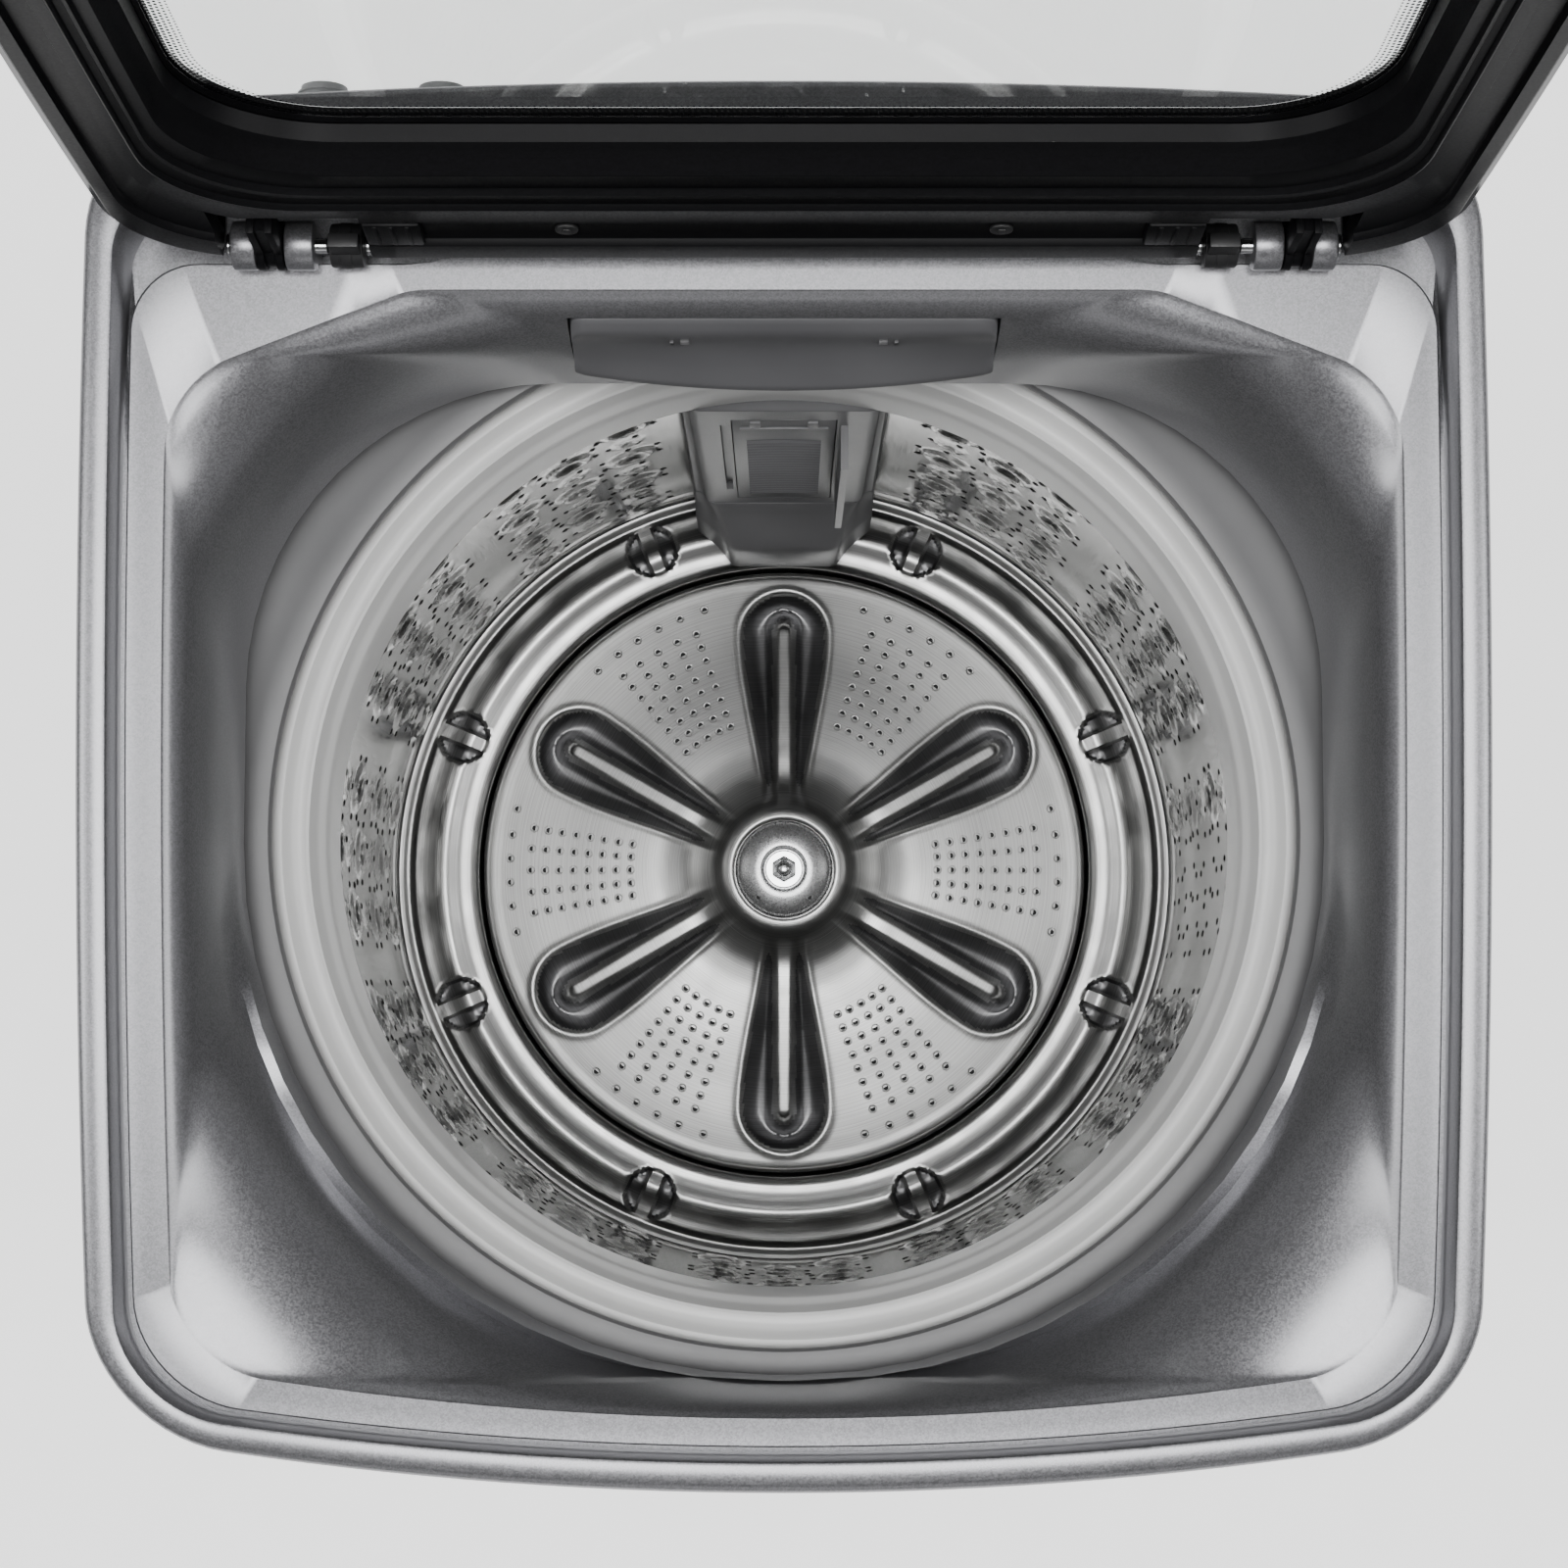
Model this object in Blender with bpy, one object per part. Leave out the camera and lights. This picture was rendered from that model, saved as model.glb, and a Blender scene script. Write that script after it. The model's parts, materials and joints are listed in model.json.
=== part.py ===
"""Top-loading washing machine with its lid open, as separate pieces.

Metres, +Z up, front towards -Y. The machine is laid out about the middle of its top cover,
and the last step moves it so that the origin is the middle of its footprint on the floor.
"""

import math

import bmesh
import bpy
from mathutils import Matrix, Vector

# ---- Overall sizes ----
WIDTH = 0.632              # across the top cover
DEPTH = 0.630              # front to rear of the top cover
RIM_HEIGHT = 1.000         # rim above the floor, at the middle of the cover
RIM_SLOPE = math.radians(4.2)   # the rim rises towards the rear
FRONT_BOW = 0.090          # share of its depth that the front edge gives up at the corners
REAR_BOW = 0.035
SIDE_BOW = 0.020
CORNER_RADIUS = 0.062
GAP = 0.0003               # between pieces that touch
LARGE_STEPS = 32           # facets of the drum and the tub
STEPS = 20                 # facets of rings and housings
SMALL_STEPS = 12           # facets of pins, rods and feet

# ---- Top cover ----
COVER_WALL = 0.003
SKIRT_BOTTOM = RIM_HEIGHT - 0.080
RIM_WIDTH = 0.015          # flat rim round the lid well
REAR_DECK = 0.051          # deck behind the lid
LEDGE_DEPTH = 0.025        # the ledge the lid closes on, below the rim
GROOVE_WIDTH = 0.0022
GROOVE_DEPTH = 0.028
TROUGH_DEPTH = 0.036       # hinge trough at the rear of the well
TROUGH_WIDTH = 0.027
OPENING_SIDE = 0.034       # cover edge to opening edge, each side
OPENING_FRONT = 0.0305
OPENING_REAR = 0.090
BOWL_BOTTOM = RIM_HEIGHT - 0.120
BOWL_CLEARANCE = 0.012     # bowl mouth outside the tub cover's mouth
BOWL_REAR_RADIUS = 0.150   # rear corners of the bowl's bottom edge
BOWL_REAR_CUT = 0.0434     # the bowl's rear is cut this far inside its own circle

# ---- Drum, tub and drive ----
DRUM_BACK = 0.0126         # the drum stands this far in front of the cover's middle, as -Y
DRUM_RADIUS = 0.252        # inside
SHEET = 0.0012
DRUM_FLOOR = 0.3672
BASE_TOP = 0.4048          # ring round the wash plate, at the drum wall
BALANCE_BOTTOM = RIM_HEIGHT - 0.213
BALANCE_TOP = RIM_HEIGHT - 0.150
BALANCE_MOUTH = DRUM_RADIUS - 0.022
WASH_PLATE_RADIUS = DRUM_RADIUS - 0.0548
WASH_PLATE_HEIGHT = BASE_TOP - 0.0048
WASH_PLATE_CLEARANCE = 0.0023
TUB_CLEARANCE = 0.031      # drum's inner face to tub's inner face
TUB_WALL = 0.003
TUB_FLOOR = 0.330
TUB_FLOOR_THICKNESS = 0.008
TUB_TOP = RIM_HEIGHT - 0.1445
SPIN_TUBE_RADIUS = 0.0155
SEAL_SEAT = SPIN_TUBE_RADIUS + 0.0158     # bore the bearing and the seal sit in
SHAFT_RADIUS = 0.009
SHAFT_CLEARANCE = 0.0015
RUNNING_FIT = 0.0003
ROTOR_RADIUS = 0.128
AIR_GAP = 0.0025

# ---- Suspension ----
ROD_RADIUS = 0.004
ROD_STANDOFF = 0.02796     # from the tub's wall out to a rod's middle
LUG_TOP = 0.400
LUG_THICKNESS = 0.008
SPRING_BOTTOM = 0.294
SPRING_RADIUS = 0.0125
SPRING_WIRE = 0.0018
SPRING_TURNS = 4
BRACKET_HEIGHT = RIM_HEIGHT - 0.115     # top flange that the rods hang from

# ---- Water inlet valves ----
VALVE_PLACES = {"cold_inlet_valve": -0.160, "hot_inlet_valve": -0.215}
VALVE_HEIGHT = RIM_HEIGHT - 0.045
VALVE_RADIUS = 0.0125

# ---- Cabinet ----
SHELL_INSET = 0.0015       # cabinet inside the cover's outline
STEEL = 0.001
SHELL_BOTTOM = 0.0285
CABINET_REAR = DEPTH / 2 - 0.015       # flat back of the cabinet
SERVICE_HALF_WIDTH = WIDTH / 2 - 0.054
SERVICE_BOTTOM = 0.085
SERVICE_TOP = RIM_HEIGHT - 0.132
PANEL_LAP = 0.020          # service panel round its hole
BOX_HEIGHT = 0.050         # electronics box
FOOT_RADIUS = 0.022
FOOT_X = WIDTH / 2 - 0.054
FOOT_Y = DEPTH / 2 - 0.063     # front feet
REAR_FOOT_Y = FOOT_Y - 0.030
FRAME_BOTTOM = 0.028
FRAME_WIDTH = 0.078
FOOT_STEM = 0.005

# ---- Lid ----
LID_GAP = 0.0045           # lid edge to the wall of its well
HINGE_DEPTH = 0.015        # hinge axis below the rim
HINGE_TO_WALL = 0.022      # hinge axis to the rear wall of the well
LID_BEHIND_AXIS = 0.001
OPEN_ANGLE = math.radians(100.7)
LID_TOP = 0.018            # lid's outer face above the hinge axis, when closed
LID_PLATE = 0.0028
LID_SKIRT = 0.004          # skirt below the hinge axis
LID_INNER_FACE = 0.008
WINDOW_SIDE = 0.055
WINDOW_REAR = 0.114
WINDOW_FRONT = 0.072
GLASS_LAP = 0.012
GLASS_THICKNESS = 0.0031
KNUCKLE_RADIUS = 0.011
PIN_RADIUS = 0.0035
PIN_FIT = 0.0004
LID_KNUCKLE = (0.2235, 0.2355)
COVER_KNUCKLES = ((0.2100, 0.2230), (0.2360, 0.2470))
DAMPER_SPAN = (0.1845, 0.2035)
NOTCH_SPAN = (0.1835, 0.2500)

# ---- Detergent drawer ----
DRAWER_HALF_WIDTH = 0.0985
DRAWER_TOP = RIM_HEIGHT - 0.0248
DRAWER_BOTTOM = RIM_HEIGHT - 0.0738
DRAWER_FACE_REAR = DEPTH / 2 - 0.0955
DRAWER_LENGTH = 0.087
DRAWER_WALL = 0.002
DRAWER_FIT = 0.0010

# ---- Lint filter ----
COLUMN_HALF_WIDTH = 0.056
COLUMN_TOP = BALANCE_BOTTOM - 0.004
COLUMN_FACE = DRUM_RADIUS - 0.0285       # from the drum's axis
FOOT_FACE = DRUM_RADIUS - 0.053
FILTER_HALF_WIDTH = 0.028
FILTER_BOTTOM = BASE_TOP + 0.1277
FILTER_TOP = COLUMN_TOP - 0.0165
FILTER_PLATE = 0.003
FILTER_CAVITY = 0.018
FILTER_FIT = 0.0005

# ---- Controls on the lid's front band ----
PANEL_HALF_WIDTH = WIDTH / 2 - 0.106
PANEL_FROM_FRONT = (0.025, 0.066)
PANEL_THICKNESS = 0.0017
BUTTON_HALF_SIZE = (0.012, 0.006)
BUTTON_RISE = 0.0022
BUTTON_TRAVEL = 0.0010
BUTTON_FIT = 0.0004
BUTTON_PLACES = {"power_button": -0.170, "program_button": -0.115,
                 "level_button": 0.115, "start_button": 0.170}
DISPLAY_HALF_SIZE = (0.045, 0.011)

# ---- Values that follow ----
HALF_W = WIDTH / 2
HALF_D = DEPTH / 2
DRUM_Y = -DRUM_BACK
WELL_REAR = HALF_D - REAR_DECK
HINGE_Y = WELL_REAR - HINGE_TO_WALL
TUB_RADIUS = DRUM_RADIUS + TUB_CLEARANCE
TUB_OUTER = TUB_RADIUS + TUB_WALL
TUB_BOTTOM = TUB_FLOOR - TUB_FLOOR_THICKNESS
BALANCE_OUTER = DRUM_RADIUS + 0.005
TUB_MOUTH = DRUM_RADIUS
BOWL_RADIUS = TUB_MOUTH + BOWL_CLEARANCE - 0.002
ROD_REACH = (TUB_OUTER + ROD_STANDOFF) / math.sqrt(2)   # a rod's x and y from the drum's axis
BOWL_REAR = DRUM_Y + BOWL_RADIUS - BOWL_REAR_CUT        # stays inside the tub's mouth
HOUSING_FOOT = TUB_BOTTOM - 0.100      # bottom of the bearing housing

FINISHES = {   # colour, metallic, roughness
    "cover_paint": ((0.37, 0.37, 0.38), 0.6, 0.38),
    "cabinet_paint": ((0.35, 0.35, 0.36), 0.5, 0.40),
    "zinc_steel": ((0.55, 0.56, 0.57), 1.0, 0.45),
    "base_plastic": ((0.03, 0.03, 0.03), 0.0, 0.55),
    "lid_black": ((0.008, 0.008, 0.009), 0.0, 0.12),
    "lid_glass": ((0.80, 0.82, 0.82), 0.0, 0.02),
    "drawer_grey": ((0.10, 0.10, 0.105), 0.0, 0.40),
    "housing_grey": ((0.45, 0.45, 0.45), 0.0, 0.50),
    "drum_steel": ((0.62, 0.61, 0.60), 1.0, 0.22),
    "plate_steel": ((0.56, 0.55, 0.54), 1.0, 0.30),
    "balance_plastic": ((0.58, 0.58, 0.57), 0.0, 0.42),
    "column_grey": ((0.15, 0.15, 0.155), 0.0, 0.42),
    "hub_grey": ((0.24, 0.24, 0.245), 0.0, 0.35),
    "tub_plastic": ((0.60, 0.60, 0.58), 0.0, 0.50),
    "cast_aluminium": ((0.60, 0.60, 0.61), 1.0, 0.50),
    "bright_steel": ((0.70, 0.70, 0.71), 1.0, 0.18),
    "spring_steel": ((0.20, 0.20, 0.21), 1.0, 0.40),
    "winding": ((0.55, 0.25, 0.10), 0.8, 0.40),
    "rubber": ((0.02, 0.02, 0.02), 0.0, 0.80),
    "button_grey": ((0.40, 0.40, 0.41), 0.3, 0.30),
    "display_black": ((0.005, 0.006, 0.008), 0.0, 0.06),
}


# ---------------------------------------------------------------- modelling helpers
def material(name):
    found = bpy.data.materials.get(name)
    if found:
        return found
    colour, metallic, roughness = FINISHES[name]
    made = bpy.data.materials.new(name)
    made.use_nodes = True
    made.diffuse_color = (*colour, 1.0)
    shader = made.node_tree.nodes["Principled BSDF"]
    shader.inputs["Base Color"].default_value = (*colour, 1.0)
    shader.inputs["Metallic"].default_value = metallic
    shader.inputs["Roughness"].default_value = roughness
    return made


def make_object(name, finish, bm):
    bmesh.ops.recalc_face_normals(bm, faces=bm.faces)
    mesh = bpy.data.meshes.new(name)
    bm.to_mesh(mesh)
    bm.free()
    mesh.shade_smooth()
    mesh.set_sharp_from_angle(angle=math.radians(35))
    mesh.materials.append(material(finish))
    obj = bpy.data.objects.new(name, mesh)
    bpy.context.scene.collection.objects.link(obj)
    return obj


def loft(name, finish, loops, ring=False):
    """Skin over loops of equal length. A ring joins the last loop to the first."""
    bm = bmesh.new()
    rows = [[bm.verts.new(point) for point in loop] for loop in loops]
    pairs = list(zip(rows, rows[1:]))
    if ring:
        pairs.append((rows[-1], rows[0]))
    else:
        bm.faces.new(rows[0])
        bm.faces.new(rows[-1])
    count = len(rows[0])
    for low, high in pairs:
        for i in range(count):
            j = (i + 1) % count
            bm.faces.new((low[i], low[j], high[j], high[i]))
    bmesh.ops.triangulate(bm, faces=[face for face in bm.faces if len(face.verts) == 4])
    return make_object(name, finish, bm)


def turned(name, finish, profile, steps, place=(0.0, 0.0, 0.0), along_x=False):
    """Profile of (radius, height) turned once; it is a ring unless it starts on the axis."""
    bm = bmesh.new()
    verts = [bm.verts.new((radius, 0.0, height)) for radius, height in profile]
    edges = [bm.edges.new(pair) for pair in zip(verts, verts[1:])]
    if profile[0][0] > 0:
        edges.append(bm.edges.new((verts[-1], verts[0])))
    bmesh.ops.spin(bm, geom=verts + edges, axis=(0, 0, 1), cent=(0, 0, 0),
                   angle=2 * math.pi, steps=steps, use_merge=True)
    bmesh.ops.remove_doubles(bm, verts=bm.verts, dist=1e-6)
    if along_x:
        bmesh.ops.rotate(bm, verts=bm.verts, matrix=Matrix.Rotation(math.pi / 2, 3, "Y"))
    bmesh.ops.translate(bm, verts=bm.verts, vec=place)
    return make_object(name, finish, bm)


def box(name, finish, low, high, bevel=0.0):
    bm = bmesh.new()
    bmesh.ops.create_cube(bm, size=1.0)
    low, high = Vector(low), Vector(high)
    bmesh.ops.scale(bm, verts=bm.verts, vec=high - low)
    bmesh.ops.translate(bm, verts=bm.verts, vec=(low + high) / 2)
    if bevel:
        bmesh.ops.bevel(bm, geom=bm.edges, offset=bevel, segments=2, profile=0.5,
                        affect="EDGES", clamp_overlap=True)
    return make_object(name, finish, bm)


def rod(name, finish, start, end, radius, steps=SMALL_STEPS):
    """Plain round bar from start to end."""
    start, end = Vector(start), Vector(end)
    bm = bmesh.new()
    bmesh.ops.create_cone(bm, cap_ends=True, segments=steps, radius1=radius, radius2=radius,
                          depth=(end - start).length)
    turn = Vector((0, 0, 1)).rotation_difference(end - start)
    bmesh.ops.rotate(bm, verts=bm.verts, matrix=turn.to_matrix())
    bmesh.ops.translate(bm, verts=bm.verts, vec=(start + end) / 2)
    return make_object(name, finish, bm)


def combine(obj, tool, operation):
    """Boolean of obj with a tool object that is used up."""
    modifier = obj.modifiers.new("combine", "BOOLEAN")
    modifier.operation = operation
    modifier.object = tool
    bpy.context.view_layer.update()
    graph = bpy.context.evaluated_depsgraph_get()
    mesh = bpy.data.meshes.new_from_object(obj.evaluated_get(graph))
    obj.modifiers.clear()
    old = obj.data
    obj.data = mesh
    mesh.name = obj.name
    bpy.data.meshes.remove(old)
    bpy.data.objects.remove(tool)


def cut(obj, tool):
    combine(obj, tool, "DIFFERENCE")


def join(obj, tool):
    combine(obj, tool, "UNION")


# ---------------------------------------------------------------- outlines
def fillet(before, corner, after, radius, steps):
    """Points round a corner, the same number whatever its turn."""
    into = (corner - before).normalized()
    out = (after - corner).normalized()
    turn = math.atan2(into.x * out.y - into.y * out.x, into.dot(out))
    if abs(turn) < 0.02:
        reach = 0.004
        return [corner + into * reach * (2 * i / steps - 1) for i in range(steps + 1)]
    tangent = radius * math.tan(abs(turn) / 2)
    start = corner - into * tangent
    side = Vector((-into.y, into.x)) * (1 if turn > 0 else -1)
    centre = start + side * radius
    arm = start - centre
    points = []
    for i in range(steps + 1):
        angle = turn * i / steps
        points.append(centre + Matrix.Rotation(angle, 2) @ arm)
    return points


def between(start, end, steps):
    """Points after start and before end, evenly spaced."""
    return [start.lerp(end, i / steps) for i in range(1, steps)]


def outline(half_x, front, rear, front_radius, rear_radius, bow=1.0, rear_bow=None,
            shoulder=None):
    """Closed plan outline, right half then its mirror image. shoulder is (x of the slanted
    rear corner's inner end, drop of its outer end), on an outline whose corners are cut."""
    inner_x, drop = shoulder or (half_x * 0.6, 0.0)
    middle = Vector((0.0, front))
    first = Vector((half_x, front))
    second = Vector((half_x, rear - drop))
    third = Vector((inner_x, rear))
    last = Vector((0.0, rear))
    arc_one = fillet(middle, first, second, front_radius, 4)
    arc_two = fillet(first, second, third, rear_radius, 4)
    arc_three = fillet(second, third, last, 0.050, 2)
    half = [middle] + between(middle, arc_one[0], 3) + arc_one
    half += between(arc_one[-1], arc_two[0], 2) + arc_two
    half += arc_three
    half += between(arc_three[-1], last, 2) + [last]
    rear_share = bow * REAR_BOW if rear_bow is None else rear_bow
    points = []
    for x, y in half:
        share = (x / HALF_W) ** 2 * (bow * FRONT_BOW if y < 0 else rear_share)
        side = bow * SIDE_BOW * (y / HALF_D) ** 2
        points.append((x * (1 - side), y * (1 - share)))
    mirrored = [(-x, y) for x, y in points[-2:0:-1]]
    return points + mirrored


def blend(first, second, share):
    return [(a[0] + (b[0] - a[0]) * share, a[1] + (b[1] - a[1]) * share)
            for a, b in zip(first, second)]


def rim_height(y, depth=0.0):
    return RIM_HEIGHT + y * math.tan(RIM_SLOPE) - depth


def sloped(points, depth):
    """Points a given depth below the sloping rim; depth may be a function of y."""
    deep = depth if callable(depth) else lambda y: depth
    return [(x, y, rim_height(y, deep(y))) for x, y in points]


def flat(points, height):
    return [(x, y, height) for x, y in points]


def cover_outline(inset):
    return outline(HALF_W - inset, -HALF_D + inset, HALF_D - inset,
                   CORNER_RADIUS - inset, CORNER_RADIUS - inset)


def well_outline(inset, rear_inset):
    half = HALF_W - RIM_WIDTH - inset
    return outline(half, -HALF_D + RIM_WIDTH + inset, WELL_REAR - rear_inset,
                   CORNER_RADIUS - RIM_WIDTH, 0.030, rear_bow=0.0)


def opening_outline(grow):
    return outline(HALF_W - OPENING_SIDE + grow, -HALF_D + OPENING_FRONT - grow,
                   HALF_D - OPENING_REAR + grow, 0.040 + grow, 0.045 + grow,
                   bow=1.2, rear_bow=0.0, shoulder=(0.172, 0.042))


def bowl_outline(grow):
    straight = BOWL_RADIUS - BOWL_REAR_RADIUS
    return outline(BOWL_RADIUS + grow, DRUM_Y - BOWL_RADIUS - grow,
                   BOWL_REAR + grow, BOWL_RADIUS - 0.007 + grow,
                   BOWL_REAR_RADIUS + grow, bow=0.0, shoulder=(straight * 0.7, 0.0))


def shell_outline(inset):
    edge = SHELL_INSET + inset
    return outline(HALF_W - edge, -HALF_D + edge, CABINET_REAR - inset,
                   CORNER_RADIUS - edge, 0.030 - inset, rear_bow=0.0)


def circle(radius, count, centre_y):
    """Points on a circle, starting at the front as an outline does."""
    turn = 2 * math.pi / count
    return [(radius * math.sin(i * turn), centre_y - radius * math.cos(i * turn))
            for i in range(count)]


# ---------------------------------------------------------------- cabinet and cover
def make_cabinet():
    outer, inner = shell_outline(0.0), shell_outline(STEEL)
    mouth = circle(TUB_OUTER + 0.011, len(outer), DRUM_Y)
    top = SKIRT_BOTTOM - GAP
    lower = BRACKET_HEIGHT
    shell = loft("cabinet_wrapper", "cabinet_paint", [
        flat(outer, SHELL_BOTTOM), flat(outer, top), flat(inner, top),
        flat(inner, lower + 0.003), flat(mouth, lower + 0.003), flat(mouth, lower),
        flat(inner, lower), flat(inner, SHELL_BOTTOM)], ring=True)
    cut(shell, box("service_hole", "zinc_steel",
                   (-SERVICE_HALF_WIDTH, CABINET_REAR - 0.010, SERVICE_BOTTOM),
                   (SERVICE_HALF_WIDTH, CABINET_REAR + 0.010, SERVICE_TOP)))
    for x, y in rod_places():
        cut(shell, rod("rod_hole", "zinc_steel", (x, y, lower - 0.01), (x, y, lower + 0.01),
                       ROD_RADIUS + 0.0015))

    panel = box("rear_panel", "zinc_steel",
                (-SERVICE_HALF_WIDTH - PANEL_LAP, CABINET_REAR + GAP, SERVICE_BOTTOM - PANEL_LAP),
                (SERVICE_HALF_WIDTH + PANEL_LAP, CABINET_REAR + GAP + STEEL,
                 SERVICE_TOP + PANEL_LAP))
    middle = (SERVICE_BOTTOM + SERVICE_TOP) / 2
    for low, high in ((SERVICE_BOTTOM + 0.06, middle - 0.03), (middle + 0.03, SERVICE_TOP - 0.06)):
        join(panel, box("pressing", "zinc_steel",
                        (-0.200, CABINET_REAR + GAP + STEEL / 2, low),
                        (0.200, CABINET_REAR + 0.006, high), bevel=0.003))

    frame_outer = shell_outline(STEEL + 0.0004)
    lip = shell_outline(STEEL + 0.0034)
    half_x, half_y = HALF_W - FRAME_WIDTH, HALF_D - FRAME_WIDTH
    hole_lip = outline(half_x + 0.003, -half_y - 0.003, half_y + 0.003, 0.03, 0.03, bow=0.0)
    hole = outline(half_x, -half_y, half_y, 0.03, 0.03, bow=0.0)
    floor = FRAME_BOTTOM + 0.003
    frame = loft("base_frame", "base_plastic", [
        flat(frame_outer, FRAME_BOTTOM), flat(frame_outer, 0.070), flat(lip, 0.070),
        flat(lip, floor), flat(hole_lip, floor), flat(hole_lip, 0.050),
        flat(hole, 0.050), flat(hole, FRAME_BOTTOM)], ring=True)
    for side in (-1, 1):
        cut(frame, rod("stem_hole", "base_plastic", (side * FOOT_X, -FOOT_Y, 0.02),
                       (side * FOOT_X, -FOOT_Y, 0.04), FOOT_STEM + 0.0005))


def make_feet():
    for side, word in ((-1, "left"), (1, "right")):
        turned("rear_foot_" + word, "rubber",
               [(0, 0), (FOOT_RADIUS - 0.002, 0), (FOOT_RADIUS, 0.002), (FOOT_RADIUS, 0.014),
                (0.017, 0.022), (0.017, FRAME_BOTTOM - GAP), (0, FRAME_BOTTOM - GAP)],
               SMALL_STEPS, (side * FOOT_X, REAR_FOOT_Y, 0))
        foot = turned("front_foot_" + word, "rubber",
                      [(0, 0), (FOOT_RADIUS - 0.002, 0), (FOOT_RADIUS, 0.002),
                       (FOOT_RADIUS, 0.012), (0.012, 0.017), (0.010, 0.0255),
                       (FOOT_STEM, 0.026), (FOOT_STEM, 0.055), (0, 0.055)], SMALL_STEPS,
                      (side * FOOT_X, -FOOT_Y, 0))
        mount(foot, pivot("front_foot_" + word + "_axis", (side * FOOT_X, -FOOT_Y, 0)))


def trough_depth(y):
    """The groove round the ledge deepens into the hinge trough at the rear."""
    start, end = WELL_REAR - 0.079, WELL_REAR - 0.049
    share = min(max((y - start) / (end - start), 0.0), 1.0)
    return GROOVE_DEPTH + (TROUGH_DEPTH - GROOVE_DEPTH) * share


def make_top_cover():
    opening, opening_out = opening_outline(0), opening_outline(COVER_WALL)
    bowl, bowl_out = bowl_outline(0), bowl_outline(COVER_WALL)
    ledge = LEDGE_DEPTH
    under = 0.0035
    groove = GROOVE_WIDTH
    cover = loft("top_cover", "cover_paint", [
        flat(cover_outline(0), SKIRT_BOTTOM),
        sloped(cover_outline(0), 0.006),
        sloped(cover_outline(0.0012), 0.0018),
        sloped(cover_outline(0.005), 0.0),
        sloped(well_outline(-0.0015, -0.0015), 0.0),
        sloped(well_outline(0, 0), 0.0015),
        sloped(well_outline(0, 0), trough_depth),
        sloped(well_outline(groove, TROUGH_WIDTH), trough_depth),
        sloped(well_outline(groove + 0.0006, TROUGH_WIDTH + 0.0006), ledge),
        sloped(opening, ledge),
        sloped(blend(opening, bowl, 0.35), ledge + 0.007),
        sloped(blend(opening, bowl, 0.60), ledge + 0.020),
        sloped(blend(opening, bowl, 0.85), ledge + 0.055),
        flat(bowl, BOWL_BOTTOM),
        flat(bowl_out, BOWL_BOTTOM),
        sloped(blend(opening_out, bowl_out, 0.85), ledge + 0.055),
        sloped(blend(opening_out, bowl_out, 0.60), ledge + 0.023),
        sloped(opening_out, ledge + COVER_WALL),
        sloped(well_outline(groove + 0.004, TROUGH_WIDTH + 0.003),
               lambda y: trough_depth(y) + COVER_WALL),
        sloped(well_outline(-COVER_WALL, -COVER_WALL), lambda y: trough_depth(y) + COVER_WALL),
        sloped(well_outline(-COVER_WALL, -COVER_WALL), under),
        sloped(cover_outline(COVER_WALL), under),
        flat(cover_outline(COVER_WALL), SKIRT_BOTTOM)], ring=True)

    fit = DRAWER_FIT
    cut(cover, box("drawer_hole", "cover_paint",
                   (-DRAWER_HALF_WIDTH - fit, DRAWER_FACE_REAR - 0.0395,
                    DRAWER_BOTTOM - 0.002 - fit),
                   (DRAWER_HALF_WIDTH + fit, HINGE_Y - 0.004, DRAWER_TOP + fit)))
    for x in VALVE_PLACES.values():
        cut(cover, rod("valve_hole", "cover_paint", (x, HALF_D - 0.035, VALVE_HEIGHT),
                       (x, HALF_D + 0.02, VALVE_HEIGHT), VALVE_RADIUS + 0.001))
    axis_height = rim_height(HINGE_Y, HINGE_DEPTH)
    floor = rim_height(HINGE_Y, TROUGH_DEPTH + 0.0015)
    for side in (-1, 1):
        for near, far in COVER_KNUCKLES:
            low, high = sorted((side * near, side * far))
            barrel = rod("barrel", "cover_paint", (low, HINGE_Y, axis_height),
                         (high, HINGE_Y, axis_height), KNUCKLE_RADIUS)
            join(barrel, box("web", "cover_paint",
                             (low, HINGE_Y - KNUCKLE_RADIUS * 0.7, floor),
                             (high, HINGE_Y + KNUCKLE_RADIUS * 0.7, axis_height)))
            join(cover, barrel)
    cut(cover, rod("pin_hole", "cover_paint", (-0.26, HINGE_Y, axis_height),
                   (0.26, HINGE_Y, axis_height), PIN_RADIUS + PIN_FIT))


def make_services():
    for name, x in VALVE_PLACES.items():
        valve = box(name, "housing_grey", (x - 0.018, HALF_D - 0.043, VALVE_HEIGHT - 0.018),
                    (x + 0.018, HALF_D - 0.020, VALVE_HEIGHT + 0.018), bevel=0.002)
        join(valve, rod("spout", "housing_grey", (x, HALF_D - 0.022, VALVE_HEIGHT),
                        (x, HALF_D + 0.017, VALVE_HEIGHT), VALVE_RADIUS))
    box("electronics_box", "housing_grey",
        (0.125, CABINET_REAR - 0.064, SKIRT_BOTTOM - BOX_HEIGHT / 2),
        (0.245, CABINET_REAR - 0.008, SKIRT_BOTTOM + BOX_HEIGHT / 2), bevel=0.003)
    lock_rear = -HALF_D + OPENING_FRONT - 2 * COVER_WALL
    box("lid_lock", "base_plastic", (-0.028, lock_rear - 0.016, rim_height(-HALF_D) - 0.082),
        (0.028, lock_rear - 0.0015, rim_height(-HALF_D) - 0.0345), bevel=0.001)


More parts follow.
